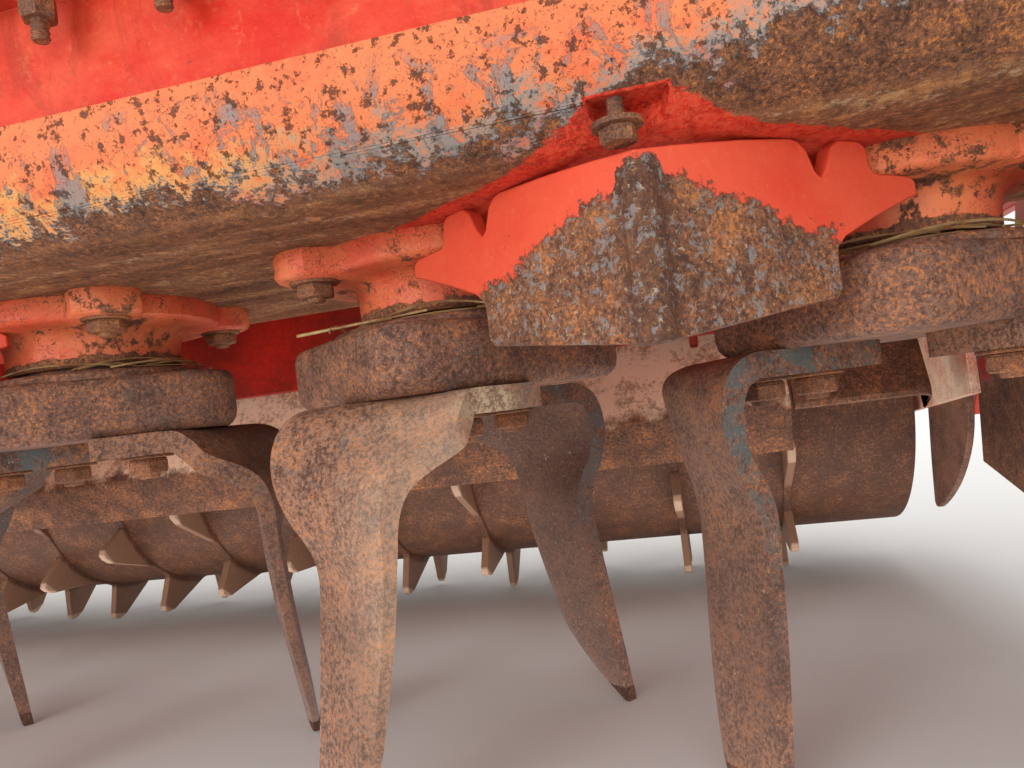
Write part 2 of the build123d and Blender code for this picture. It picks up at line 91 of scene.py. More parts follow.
class HarrowColours(bpy.types.PropertyGroup):
    """The colours of the paint, the rust and the bare steel"""
    red: colour("Red", "Sound red paint", 208, 38, 20)
    coral: colour("Coral", "Red paint gone chalky", 220, 82, 54)
    # Red darkened as painted shade, for the plates that lie in shade under the trough; the trough's walls take it only
    # in random patches.
    shaded_red: colour("Shaded red", "Dull red paint under the trough", 122, 28, 16)
    orange: colour("Orange", "Paint faded by the sun", 226, 124, 78)
    straw: colour("Yellow", "Paint bleached to yellow", 226, 158, 92)
    primer: colour("Primer", "Grey primer under the paint", 134, 132, 130)
    rust: colour("Rust", "Rust on plates", 140, 92, 64)
    rust_bright: colour("Bright rust", "Fresh rust specks", 196, 122, 66)
    # Also laid on the tines as painted shade, behind the rotor line and in spots.
    rust_dark: colour("Dark rust", "Old crust and dried soil", 76, 50, 40)
    crust: colour("Pale crust", "Lichen and pale scale", 204, 184, 150)
    slate: colour("Slate", "Blue-grey steel where rust is thin", 88, 98, 98)
    forging: colour("Forging", "Rusted forgings", 138, 98, 80)
    tine: colour("Tine steel", "Soil-worn tine steel", 166, 122, 98)
    drum: colour("Drum", "The roller's even rust", 104, 64, 40)
    # Also laid on one tine as a painted light spot.
    bar: colour("Levelling bar", "Chalky paint on the bar's face", 250, 218, 186)
    steel: colour("Steel", "Bare greased steel", 150, 146, 140)
    plastic: colour("Plastic", "Weathered black plastic", 28, 28, 29)
    dry_grass: colour("Dry grass", "Straw wound round the hubs", 186, 160, 108)


class HarrowSizes(bpy.types.PropertyGroup):
    """Sizes of the small parts that are shown only here"""
    bevel: length("Edge bevel", "Width of the bevel on plate edges", 0.0016)
    flange_bolt: length("Flange bolt", "Across the corners of a bearing flange bolt", 0.026)
    cover_bolt: length("Cover bolt", "Across the corners of a cover bolt's nut", 0.018)
    cover_pitch: length("Cover bolt pitch", "From one cover bolt to the next", 0.070)
    straws: IntProperty(name="Straws", description="Straws wound round each hub", default=16, min=0, max=60)


class StudioSettings(bpy.types.PropertyGroup):
    """The floor, the lights and the lens"""
    floor: colour("Floor", "Plain pale floor", 226, 225, 222)
    focal: FloatProperty(name="Focal length", description="Lens, for a 36 mm frame", default=27.04, min=5, max=300)
    sky: FloatProperty(name="Sky", description="Strength of the even light from all round", default=0.98, min=0, max=5)


# Geometry

class Shape:
    """Points and faces of one mesh, given in millimetres about the rotor line."""

    def __init__(self):
        self.points = []
        self.faces = []

    def add(self, points):
        start = len(self.points)
        self.points.extend((x / 1000, y / 1000 + SHIFT, z / 1000) for x, y, z in points)
        return start

    def join(self, a, b, count, first=0):
        """A band of faces between two rings of points, which start at a and b."""
        self.faces += [(a + i, a + (i + 1) % count, b + (i + 1) % count, b + i) for i in range(first, count)]

    def loft(self, rings):
        """Skins equal rings of points one after another and closes both ends."""
        count = len(rings[0])
        starts = [self.add(ring) for ring in rings]
        for a, b in zip(starts, starts[1:]):
            self.join(a, b, count)
        self.faces.append(tuple(reversed(range(starts[0], starts[0] + count))))
        self.faces.append(tuple(range(starts[-1], starts[-1] + count)))

    def prism(self, outline, low, high):
        """An upright prism on an outline of (x, y) points."""
        self.loft([[(x, y, z) for x, y in outline] for z in (low, high)])

    def across(self, outline, x_from, x_to):
        """A prism along X on an outline of (y, z) points."""
        self.loft([[(x, y, z) for y, z in outline] for x in (x_from, x_to)])

    def holed_plate(self, outline, centre, radius, x_from, x_to, sides=24):
        """A plate square to X with one round hole. The outline of (y, z) points runs anticlockwise."""
        count = len(outline)
        left = min(range(count), key=lambda i: outline[i][0])
        right = max(range(count), key=lambda i: outline[i][0])
        hole = arc(*centre, radius, 180, 540, sides)[:-1]
        half = sides // 2
        starts = [[self.add([(x, y, z) for y, z in line]) for line in (outline, hole)] for x in (x_from, x_to)]
        for a, b in starts:
            low = [a + (left + i) % count for i in range((right - left) % count + 1)]
            high = [a + (right + i) % count for i in range((left - right) % count + 1)]
            self.faces.append(tuple(low + [b + i for i in range(half, -1, -1)]))
            self.faces.append(tuple(high + [b] + [b + i for i in range(sides - 1, half - 1, -1)]))
        for k, n in enumerate((count, sides)):
            self.join(starts[0][k], starts[1][k], n)

    def rod(self, start, end, radius, sides=16, turn=0.0, end_radius=None):
        """A round or many-sided bar from one point to another."""
        start, end = Vector(start), Vector(end)
        axis = (end - start).normalized()
        side = axis.orthogonal().normalized()
        up = axis.cross(side)
        angles = [turn + 2 * pi * i / sides for i in range(sides)]
        self.loft([[tuple(centre + side * (size * cos(a)) + up * (size * sin(a))) for a in angles]
                   for centre, size in ((start, radius), (end, radius if end_radius is None else end_radius))])

    def nut(self, base, axis, radius, height, turn=0.0):
        """A hexagon with chamfered corners."""
        base, tall = Vector(base), Vector(axis).normalized() * height
        for low, high, low_radius, high_radius in ((0, 0.15, 0.93, 1), (0.15, 0.85, 1, 1), (0.85, 1, 1, 0.9)):
            self.rod(base + tall * low, base + tall * high, radius * low_radius, 6, turn, radius * high_radius)

    def finish(self, name, look, body, slot, bevel=0.0, angle=35.0, segments=2, replaces=()):
        """Makes the mesh, lets it ride on its body and gives it its finish."""
        mesh = bpy.data.meshes.new(name)
        mesh.from_pydata(self.points, [], self.faces)
        mesh.validate()
        turn_outward(mesh)
        for polygon in mesh.polygons:
            polygon.use_smooth = True
        mesh.set_sharp_from_angle(angle=radians(angle))
        mesh.materials.append(all_finishes()[look])
        piece = bpy.data.objects.new(name, mesh)
        bpy.context.scene.collection.objects.link(piece)
        if bevel:
            soften(piece, bevel, segments, angle)
        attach(piece, body)
        if replaces:
            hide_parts(*replaces)
        return piece


def turn_outward(mesh):
    """Turns every face's front outward."""
    work = bmesh.new()
    work.from_mesh(mesh)
    bmesh.ops.recalc_face_normals(work, faces=work.faces)
    work.to_mesh(mesh)
    work.free()


def soften(piece, width, segments=2, angle=35.0):
    """Rounds the sharp edges a little, as worn plate edges are."""
    bevel = piece.modifiers.new("soft edges", "BEVEL")
    bevel.width = width
    bevel.segments = segments
    bevel.limit_method = "ANGLE"
    bevel.angle_limit = radians(angle)
    bevel.miter_outer = "MITER_ARC"


def weld(piece, name, distance):
    """Joins points that lie on each other, so that a bevel finds whole edges."""
    piece.modifiers.new(name, "WELD").merge_threshold = distance


def polar(y, z, radius, degrees):
    """A point of a plane, from another one, a distance and an angle."""
    return (y + radius * cos(radians(degrees)), z + radius * sin(radians(degrees)))


def arc(y, z, radius, start, end, steps):
    """Points on an arc, with its angles in degrees."""
    return [polar(y, z, radius, start + (end - start) * i / steps) for i in range(steps + 1)]


def level_ring(x, y, z, radius, sides):
    """A level ring of points round an upright axis."""
    return [(x + radius * cos(2 * pi * i / sides), y + radius * sin(2 * pi * i / sides), z) for i in range(sides)]


def rounded_box(half_long, half_wide, corner, steps):
    """The outline of a rectangle with round corners."""
    points = []
    for sx, sy, start in ((1, 1, 0), (-1, 1, 90), (-1, -1, 180), (1, -1, 270)):
        points += arc(sx * (half_long - corner), sy * (half_wide - corner), corner, start, start + 90, steps)
    return points


def smooth_line(values, steps):
    """Points on a smooth curve through the given tuples."""
    result = []
    for i in range(len(values) - 1):
        around = (values[max(i - 1, 0)], values[i], values[i + 1], values[min(i + 2, len(values) - 1)])
        for step in range(steps):
            t = step / steps
            result.append(tuple(
                0.5 * (2 * b + (c - a) * t + (2 * a - 5 * b + 4 * c - d) * t * t + (3 * b - a - 3 * c + d) * t ** 3)
                for a, b, c, d in zip(*around)))
    result.append(tuple(values[-1]))
    return result


def between(a, b, share):
    return tuple(p + (q - p) * share for p, q in zip(a, b))


def rotor_x(index):
    return (index - (ROTORS - 1) / 2) * PITCH


def rotor_angle(index):
    """How far a rotor stands turned at rest, in degrees."""
    return 37.0 if index % 2 else 48.0


def rotor_hand(index):
    """Neighbouring rotors turn opposite ways, so their tines are mirror images."""
    return 1 if index % 2 else -1


# Materials

class Finish:
    """A worn finish, put together from noise, ramps and mixes on object coordinates in metres."""

    def __init__(self, name):
        self.material = bpy.data.materials.new(name)
        self.material.use_nodes = True
        self.tree = self.material.node_tree
        self.tree.nodes.clear()
        self.shader = self.new("ShaderNodeBsdfPrincipled")
        output = self.new("ShaderNodeOutputMaterial")
        self.tree.links.new(self.shader.outputs[0], output.inputs[0])
        self.place = self.new("ShaderNodeTexCoord").outputs["Object"]

    def new(self, kind):
        return self.tree.nodes.new(kind)

    def put(self, value, socket):
        """Links a node's output to a socket, or sets the socket to a number or a colour."""
        if isinstance(value, bpy.types.NodeSocket):
            self.tree.links.new(value, socket)
        elif hasattr(value, "__len__"):
            socket.default_value = (*value[:3], 1.0) if len(socket.default_value) == 4 else value[:3]
        else:
            socket.default_value = value

    def stretched(self, x, y, z):
        mapping = self.new("ShaderNodeMapping")
        self.put(self.place, mapping.inputs["Vector"])
        mapping.inputs["Scale"].default_value = (x, y, z)
        return mapping.outputs[0]

    def noise(self, scale, detail=4.0, rough=0.55, at=None, twist=0.0):
        node = self.new("ShaderNodeTexNoise")
        self.put(at or self.place, node.inputs["Vector"])
        for value, socket in zip((scale, detail, rough, twist), ("Scale", "Detail", "Roughness", "Distortion")):
            node.inputs[socket].default_value = value
        return node.outputs["Fac"]

    def pits(self, scale):
        node = self.new("ShaderNodeTexVoronoi")
        self.put(self.place, node.inputs["Vector"])
        node.inputs["Scale"].default_value = scale
        return node.outputs["Distance"]

    def along(self, axis):
        """The place along one axis, in metres."""
        node = self.new("ShaderNodeSeparateXYZ")
        self.put(self.place, node.inputs[0])
        return node.outputs[axis]

    def calc(self, operation, *values):
        node = self.new("ShaderNodeMath")
        node.operation = operation
        for value, socket in zip(values, node.inputs):
            self.put(value, socket)
        return node.outputs[0]

    def vector(self, operation, a, b=None):
        node = self.new("ShaderNodeVectorMath")
        node.operation = operation
        self.put(a, node.inputs[0])
        if b:
            node.inputs[1].default_value = b
        return node.outputs["Value" if operation == "LENGTH" else 0]

    def total(self, *terms):
        """The sum of (value, weight) pairs."""
        result = 0.0
        for value, weight in terms:
            result = self.calc("MULTIPLY_ADD", value, weight, result)
        return result

    def wander(self, noise, size):
        """A term for a total: noise about zero, spread over a size."""
        return self.calc("SUBTRACT", noise, 0.5), size

    def distance(self, a, b):
        """The diagonal over two sides."""
        return self.calc("SQRT", self.calc("ADD", self.calc("POWER", a, 2.0), self.calc("POWER", b, 2.0)))

    def from_fold(self):
        """How far along X a place is from the fold of the nearest stone guard, in metres."""
        return self.calc("ABSOLUTE", self.calc("WRAP", self.along("X"), PITCH / 1000, -PITCH / 1000))

    def step(self, value, low, high):
        """0 below low and 1 above high, or the other way round."""
        node = self.new("ShaderNodeMapRange")
        node.interpolation_type = "SMOOTHSTEP"
        self.put(value, node.inputs["Value"])
        limits = (min(low, high), max(low, high), float(low > high), float(low < high))
        for limit, socket in zip(limits, ("From Min", "From Max", "To Min", "To Max")):
            node.inputs[socket].default_value = limit
        return node.outputs["Result"]

    def share(self, value, low, high, most):
        """A step that goes up to most, not to 1."""
        return self.calc("MULTIPLY", self.step(value, low, high), most)

    def mix(self, a, b, share):
        node = self.new("ShaderNodeMix")
        node.data_type = "RGBA"
        for value, socket in ((share, "Factor"), (a, "A"), (b, "B")):
            self.put(value, node.inputs[socket])
        return node.outputs["Result"]

    def cover(self, under, over, value, low, high, most=1.0):
        """Lays one colour over another where a value steps from low to high."""
        return self.mix(under, over, self.share(value, low, high, most))

    def bands(self, value, stops):
        """A colour ramp through (place, colour) stops."""
        node = self.new("ShaderNodeValToRGB")
        self.put(value, node.inputs["Fac"])
        while len(node.color_ramp.elements) < len(stops):
            node.color_ramp.elements.new(0.5)
        for element, (place, tint) in zip(node.color_ramp.elements, stops):
            element.position = place
            element.color = (*tint[:3], 1.0)
        return node.outputs["Color"]

    def blob(self, x, y, z, radius, tall):
        """1 at a place, in millimetres about the rotor line, and 0 beyond the radius."""
        away = self.vector("SUBTRACT", self.place, (x / 1000, y / 1000 + SHIFT, z / 1000))
        far = self.vector("LENGTH", self.vector("MULTIPLY", away, (1, 1, 1 / tall)))
        return self.step(far, radius / 1000, radius / 2500)

    def rust_tint(self, base, bright, dark, fine=1.0):
        """Rust: darker crust in patches, a fine grain and bright specks."""
        patch = self.noise(38, 7, 0.74)
        grain = self.noise(330 * fine, 6, 0.80)
        specks = self.noise(430 * fine, 5, 0.80, twist=0.3)
        tint = self.cover(dark, base, self.total((patch, 0.35), (grain, 0.9)), 0.50, 0.74)
        return self.cover(tint, bright, self.total((specks, 0.8), (patch, 0.35)), 0.60, 0.67, 0.85)

    def shade(self, tint, rough, height, depth, metal=0.0, gloss=0.35):
        """Hands colour, roughness and relief to the shader. The relief's depth is in metres."""
        for value, socket in (
            (tint, "Base Color"), (rough, "Roughness"), (metal, "Metallic"), (gloss, "Specular IOR Level"),
        ):
            self.put(value, self.shader.inputs[socket])
        bump = self.new("ShaderNodeBump")
        bump.inputs["Strength"].default_value = 0.9
        bump.inputs["Distance"].default_value = depth
        self.put(height, bump.inputs["Height"])
        self.put(bump.outputs[0], self.shader.inputs["Normal"])
        return self.material


def aged_paint(name, c, sound, faded, bare, fade, scale, speckle, worn_at=None, rusty=False):
    """Paint in two tints, flaking through primer to rust. A higher bare shows more rust. The paint is worn harder
    below worn_at, a height and its spread in metres. Where rusty is set, no primer shows."""
    f = Finish(name)
    broad = f.noise(7 * scale, 5, 0.62)
    patch = f.noise(34 * scale, 6, 0.68)
    fine = f.noise(190 * scale, 4, 0.7)
    wear = f.total((broad, 0.45), (patch, 0.55), (fine, 0.14))
    if worn_at:
        height, spread = worn_at
        wear = f.calc("MULTIPLY_ADD", f.step(f.along("Z"), height + spread, height - spread), 0.42, wear)
    limit = 0.86 - 0.5 * bare
    flaked = f.step(wear, limit, limit + 0.035)
    ring = f.step(wear, limit - 0.03, limit + 0.005)
    spotted = 0.70 - 0.12 * speckle
    spots = f.share(f.noise(330 * scale, 3, 0.5), spotted, spotted + 0.06, f.step(patch, 0.38, 0.62))
    rust = f.rust_tint(c.rust, c.rust_bright, c.rust_dark)
    tint = f.cover(sound, faded, f.total((broad, 0.8), (fine, 0.3)), 0.46 - 0.1 * fade, 0.78 - 0.25 * fade)
    tint = f.mix(tint, rust if rusty else f.mix(c.primer, rust, flaked), ring)
    tint = f.mix(tint, rust, f.calc("MULTIPLY", spots, 0.85))
    tint = f.cover(tint, c.rust_dark, f.noise(12 * scale, 6, 0.7), 0.42, 0.85, 0.28)
    rough = f.total((flaked, 0.32), (fine, 0.16), (1.0, 0.38))
    grain = (f.noise(420 * scale, 4, 0.7), f.calc("MULTIPLY_ADD", flaked, 0.8, 0.08))
    return f.shade(tint, rough, f.total((ring, -0.5), grain, (spots, -0.3)), 0.0009)


def trough_paint(c):
    """The trough's paint: red on the walls, sun-bleached over the belly's shoulder, then primer, rust and crust."""
    f = Finish("bleached trough paint")
    x, y, z = (f.along(axis) for axis in "XYZ")
    broad = f.noise(4, 4, 0.6, f.stretched(0.6, 1, 1))
    patch = f.noise(30, 8, 0.74, f.stretched(0.8, 1, 1))
    blotch = f.noise(72, 8, 0.78)
    fine = f.noise(260, 6, 0.78)
    wall = f.step(z, 0.4300, 0.4308)
    # How high a place stands in the weathered bands, from 366 mm to 446 mm. Near the right-hand end they climb.
    climb = f.calc("MULTIPLY", f.calc("MAXIMUM", f.calc("SUBTRACT", x, 1.12), 0.0), 100.0)
    level = f.total((z, 1000.0), (climb, -1.0), f.wander(broad, 40.0), f.wander(patch, 95.0), f.wander(blotch, 60.0),
                    f.wander(fine, 30.0))
    band = f.calc("DIVIDE", f.calc("SUBTRACT", level, 366.0), 80.0)

    bleached = f.bands(band, [(0.0, c.primer), (0.20, c.primer), (0.235, c.straw), (0.28, c.straw), (0.42, c.orange),
                              (1.0, c.orange)])
    bleached = f.cover(bleached, f.cover(c.primer, c.orange, band, 0.22, 0.40), x, 0.98, 1.08, 0.8)
    bleached = f.cover(bleached, c.coral, patch, 0.50, 0.64, 0.45)
    bleached = f.cover(bleached, c.straw, blotch, 0.57, 0.66, 0.22)
    sound = f.cover(c.red, c.coral, f.total((broad, 0.6), (patch, 0.5)), 0.44, 0.66)
    sound = f.cover(sound, c.shaded_red, f.noise(17, 8, 0.8, f.stretched(1, 1, 0.4), 0.8), 0.50, 0.62, 0.35)
    sound = f.cover(sound, c.orange, f.total((blotch, 0.6), (fine, 0.5)), 0.585, 0.66, 0.35)
    grey = f.share(f.noise(46, 8, 0.8, f.stretched(1, 1, 0.7), 0.6), 0.54, 0.57, f.step(band, 0.80, 0.40))
    tint = f.mix(f.mix(bleached, sound, wall), c.primer, f.calc("MULTIPLY", grey, 0.85))

    specks = f.share(f.total((f.noise(125, 6, 0.74), 0.75), (fine, 0.35)), 0.600, 0.630,
                     f.calc("MULTIPLY_ADD", wall, -0.93, 1.0))
    tint = f.mix(tint, c.rust_dark, f.calc("MULTIPLY", specks, 0.85))
    rusted = f.step(band, 0.20, 0.15)
    tint = f.mix(tint, f.rust_tint(c.rust, c.rust_bright, c.rust_dark), rusted)
    tiny = f.share(f.noise(420, 4, 0.7), 0.585, 0.625, f.calc("MULTIPLY_ADD", wall, -0.9, 1.0))
    tint = f.mix(tint, c.rust_dark, f.calc("MULTIPLY", tiny, 0.55))

    # The crust on the underside
    streaks = f.noise(24, 7, 0.75, f.stretched(0.3, 1.6, 1))
    crust = f.cover(c.rust_dark, c.rust, streaks, 0.32, 0.54)
    crust = f.cover(crust, c.rust_bright, fine, 0.50, 0.62, 0.7)
    crust = f.cover(crust, c.crust, f.total((streaks, 0.5), (fine, 0.6)), 0.58, 0.66, 0.6)
    crust = f.cover(crust, c.straw, f.total((blotch, 0.6), (streaks, 0.5)), 0.575, 0.64, 0.45)
    crust = f.cover(crust, c.rust_dark, f.noise(95, 7, 0.8, twist=0.4), 0.52, 0.60, 0.55)
    tint = f.cover(tint, crust, z, 0.3755, 0.3718, 0.85)

    # A margin of sound paint ahead of each guard's foot, and in the hollow of its fold
    from_fold = f.from_fold()
    fold_y = GUARD_FOLD / 1000 + SHIFT
    ahead = f.calc("SUBTRACT", f.calc("MULTIPLY_ADD", from_fold, GUARD_SLOPE, fold_y), y)
    near = f.share(from_fold, 0.18, 0.15, f.step(z, 0.3865, 0.3835))
    margin = f.share(f.total((ahead, 1000.0), f.wander(blotch, 26.0)), 20.0, 17.5, near)
    hollow = f.share(f.distance(from_fold, f.calc("SUBTRACT", y, fold_y)), 0.0206, 0.0198, f.step(z, 0.3885, 0.3878))
    tint = f.mix(tint, f.cover(c.coral, c.red, fine, 0.4, 0.65), f.calc("MAXIMUM", margin, hollow))

    scars = f.noise(21, 9, 0.82, twist=1.2)
    tint = f.cover(tint, c.rust_dark, scars, 0.635, 0.645, f.calc("MULTIPLY", wall, 0.7))
    rough = f.total((rusted, 0.25), (fine, 0.25), (1.0, 0.36), (wall, -0.08))
    relief = f.total((rusted, -0.25), (grey, -0.25), (specks, 0.35), (fine, 0.30),
                     (f.calc("MULTIPLY", rusted, blotch), 1.2),
                     (f.noise(520, 4, 0.7), f.calc("MULTIPLY_ADD", rusted, 0.5, 0.1)))
    return f.shade(tint, rough, relief, 0.0012, gloss=0.22)


def guard_paint(c):
    """The stone guards' paint: sound at the top, worn to steel below a ragged line that peaks at the fold."""
    f = Finish("stone guard paint")
    from_fold = f.from_fold()
    patch = f.noise(55, 8, 0.76)
    fine = f.noise(240, 6, 0.80)
    flecks = f.noise(135, 7, 0.80, twist=0.6)
    # The ragged line: its height above 268 mm as a share of 100 mm, at so many millimetres from the fold
    line = f.bands(f.calc("MULTIPLY", from_fold, 6.667), [
        (at / 150, (high,) * 3) for at, high in ((0, 0.90), (9, 0.88), (12, 0.78), (24, 0.79), (36, 0.73), (63, 0.63),
                                                 (78, 0.56), (96, 0.52), (110, 0.44), (146, 0.30))])
    below = f.total((f.calc("MULTIPLY_ADD", line, 0.100, 0.268), 1000.0), (f.along("Z"), -1000.0),
                    f.wander(patch, 44.0), f.wander(fine, 18.0))
    worn = f.step(below, -0.6, 0.8)

    steel = f.rust_tint(c.rust, c.rust_bright, c.rust_dark)
    steel = f.cover(steel, c.rust_dark, from_fold, 0.016, 0.010, 0.55)
    steel = f.cover(steel, c.primer, f.total((flecks, 0.8), (fine, 0.35)), 0.612, 0.648, 0.8)
    steel = f.cover(steel, c.crust, f.noise(300, 5, 0.7), 0.60, 0.66, 0.55)
    tint = f.cover(c.coral, c.red, f.noise(10, 5, 0.6), 0.48, 0.72, 0.5)
    tint = f.cover(tint, c.orange, fine, 0.52, 0.70, 0.35)
    scuffs = f.step(f.total((f.noise(48, 8, 0.85, twist=0.6), 0.9), (fine, 0.15)), 0.665, 0.685)
    tint = f.mix(tint, c.rust_dark, f.calc("MULTIPLY", scuffs, 0.85))
    tint = f.cover(tint, c.rust_dark, below, -2.6, -0.8, 0.6)
    tint = f.mix(tint, steel, worn)
    relief = f.total((worn, -0.55), (scuffs, -0.4), (f.noise(430, 5, 0.75), f.calc("MULTIPLY_ADD", worn, 0.8, 0.12)),
                     (flecks, f.calc("MULTIPLY", worn, 0.9)), (f.noise(25, 4, 0.6), 0.8))
    return f.shade(tint, f.total((worn, 0.25), (fine, 0.2), (1.0, 0.42)), relief, 0.0011)


def bar_paint(c):
    """The levelling bar: pale chalky paint on its face, rusted along the fold, the lip and the end pieces. On the end
    pieces the higher rust is partly rust and partly painted shade.
    """
    f = Finish("levelling bar paint")
    patch = f.noise(26, 7, 0.74)
    fine = f.noise(280, 6, 0.80)
    chalk = f.cover(c.bar, c.rust, f.total((patch, 0.7), (fine, 0.45)), 0.545, 0.66, 0.7)
    chalk = f.cover(chalk, c.rust_bright, f.noise(60, 7, 0.8, twist=0.6), 0.575, 0.625, 0.65)
    ends = f.step(f.calc("ABSOLUTE", f.along("X")), 1.3055, 1.3065)
    # Rusted below 236 mm, and 58 mm higher on the end pieces, where the darker colour is partly painted shade
    worn = f.step(f.total((f.along("Z"), -1000.0), (1.0, 236.0), f.wander(patch, 60.0), (ends, 58.0)), -6.0, 10.0)
    rust = f.cover(f.rust_tint(c.rust, c.rust_bright, c.rust_dark), c.rust_dark, patch, 0.42, 0.6, 0.5)
    return f.shade(f.mix(chalk, rust, worn), f.total((worn, 0.2), (fine, 0.2), (1.0, 0.42)),
                   f.total((worn, -0.2), (f.noise(420, 5, 0.75), 0.5), (patch, 0.6)), 0.0009)


def forged_steel(name, c, base, thin, pale, slate_from=0.60, rear=0.0, lichens=(), painted_shade_spots=(), painted_light_spots=()):
    """Rusted forgings: a dark grain with orange specks, slate where the rust is thin and pale crust in places. A rear
    share darkens the places behind the rotor line, as painted shade.
    The last three are lists of blobs: pale crust, painted shade and painted light."""
    f = Finish(name)
    patch = f.noise(52, 8, 0.78, twist=0.5)
    fine = f.noise(420, 6, 0.80)
    tint = f.rust_tint(base, c.rust_bright, c.rust_dark)
    tint = f.cover(tint, c.rust_dark, f.noise(5.5, 3, 0.5), 0.47, 0.60, 0.30)
    tint = f.cover(tint, c.slate, f.total((patch, 0.75), (fine, 0.35)), slate_from, slate_from + 0.06,
                   f.share(f.along("Z"), 0.06, 0.23, thin))
    # Painted shade: places behind the rotor line, which lie deeper under the machine, are darkened.
    if rear:
        tint = f.cover(tint, c.rust_dark, f.along("Y"), -0.035 + SHIFT, 0.045 + SHIFT, rear)
    # Painted shade spots darken the tines that lie in shade, and painted light spots pale the tine that catches the
    # light.
    for places, over, most in ((painted_shade_spots, c.rust_dark, 0.42), (painted_light_spots, c.bar, 0.20)):
        for place in places:
            tint = f.mix(tint, over, f.calc("MULTIPLY", f.blob(*place), most))
    tint = f.cover(tint, c.crust, f.noise(340, 6, 0.82), 0.60, 0.65, pale)
    for place in lichens:
        tint = f.cover(tint, c.crust, f.total((patch, 0.5), (fine, 0.6)), 0.53, 0.57, f.blob(*place))
    relief = f.total((fine, 0.8), (f.noise(150, 7, 0.75), 0.8), (patch, 0.5), (f.pits(300), 0.25))
    return f.shade(tint, f.total((fine, 0.3), (1.0, 0.50)), relief, 0.0011)


def drum_rust(c):
    """The roller's rust: warm and even, paler on the rings and palest at the rims of the teeth."""
    f = Finish("rusted drum")
    out = f.distance(f.calc("SUBTRACT", f.along("Y"), ROLLER_Y / 1000 + SHIFT),
                     f.calc("SUBTRACT", f.along("Z"), ROLLER_Z / 1000))
    patch = f.noise(16, 7, 0.72)
    fine = f.noise(360, 6, 0.80)
    tint = f.rust_tint(c.drum, c.rust, c.rust_dark, 0.8)
    tint = f.cover(tint, c.rust_dark, patch, 0.50, 0.66, 0.4)
    tint = f.cover(tint, f.mix(c.rust, c.bar, 0.15), out, 0.194, 0.200, 0.5)
    rim = f.step(f.total((out, 1000.0), f.wander(patch, 14.0)), 236.0, 240.0)
    tint = f.mix(tint, f.mix(c.rust, c.bar, 0.5), f.calc("MULTIPLY", rim, 0.6))
    return f.shade(tint, f.total((fine, 0.25), (rim, -0.15), (1.0, 0.52)),
                   f.total((fine, 0.6), (f.noise(120, 6, 0.72), 0.6)), 0.0008)


def rusty_steel(name, c, base, bright, pale, patches, depth=0.0006, fine=1.0):
    """Rusted steel with paler worn patches."""
    f = Finish(name)
    grain = f.noise(330 * fine, 5, 0.75)
    tint = f.rust_tint(base, bright, c.rust_dark, fine)
    tint = f.cover(tint, pale, f.total((f.noise(9, 5, 0.65), 0.6), (f.noise(48, 6, 0.7), 0.5)), 0.62, 0.72, patches)
    tint = f.cover(tint, bright, f.noise(40, 5, 0.7, f.stretched(1, 1, 0.25)), 0.45, 0.8, 0.22)
    return f.shade(tint, f.total((grain, 0.25), (1.0, 0.55)),
                   f.total((grain, 0.7), (f.noise(120, 5, 0.7), 0.5), (f.pits(240), 0.3)), depth)


def greased_steel(c):
    """Bare steel under a film of old grease."""
    f = Finish("greased steel")
    grain = f.noise(240, 4, 0.7)
    film = f.step(f.noise(18, 5, 0.65), 0.4, 0.7)
    return f.shade(f.mix(c.steel, c.rust_dark, f.calc("MULTIPLY", film, 0.7)),
                   f.total((grain, 0.25), (film, 0.2), (1.0, 0.25)), f.total((grain, 0.5)), 0.0003, metal=0.75)


def black_plastic(c):
    """Black plastic gone chalky outdoors."""
    f = Finish("black plastic")
    grain = f.noise(420, 3, 0.6)
    return f.shade(f.cover(c.plastic, c.primer, f.noise(9, 6, 0.7), 0.4, 0.8, 0.16),
                   f.total((grain, 0.2), (1.0, 0.45)), grain, 0.0003)


def dry_grass(c):
    """Straw, browned in places."""
    f = Finish("dry grass")
    return f.shade(f.cover(c.dry_grass, c.rust, f.noise(55, 4, 0.6), 0.35, 0.75), 0.75, f.noise(900, 2, 0.5), 0.0002)


finishes = {}


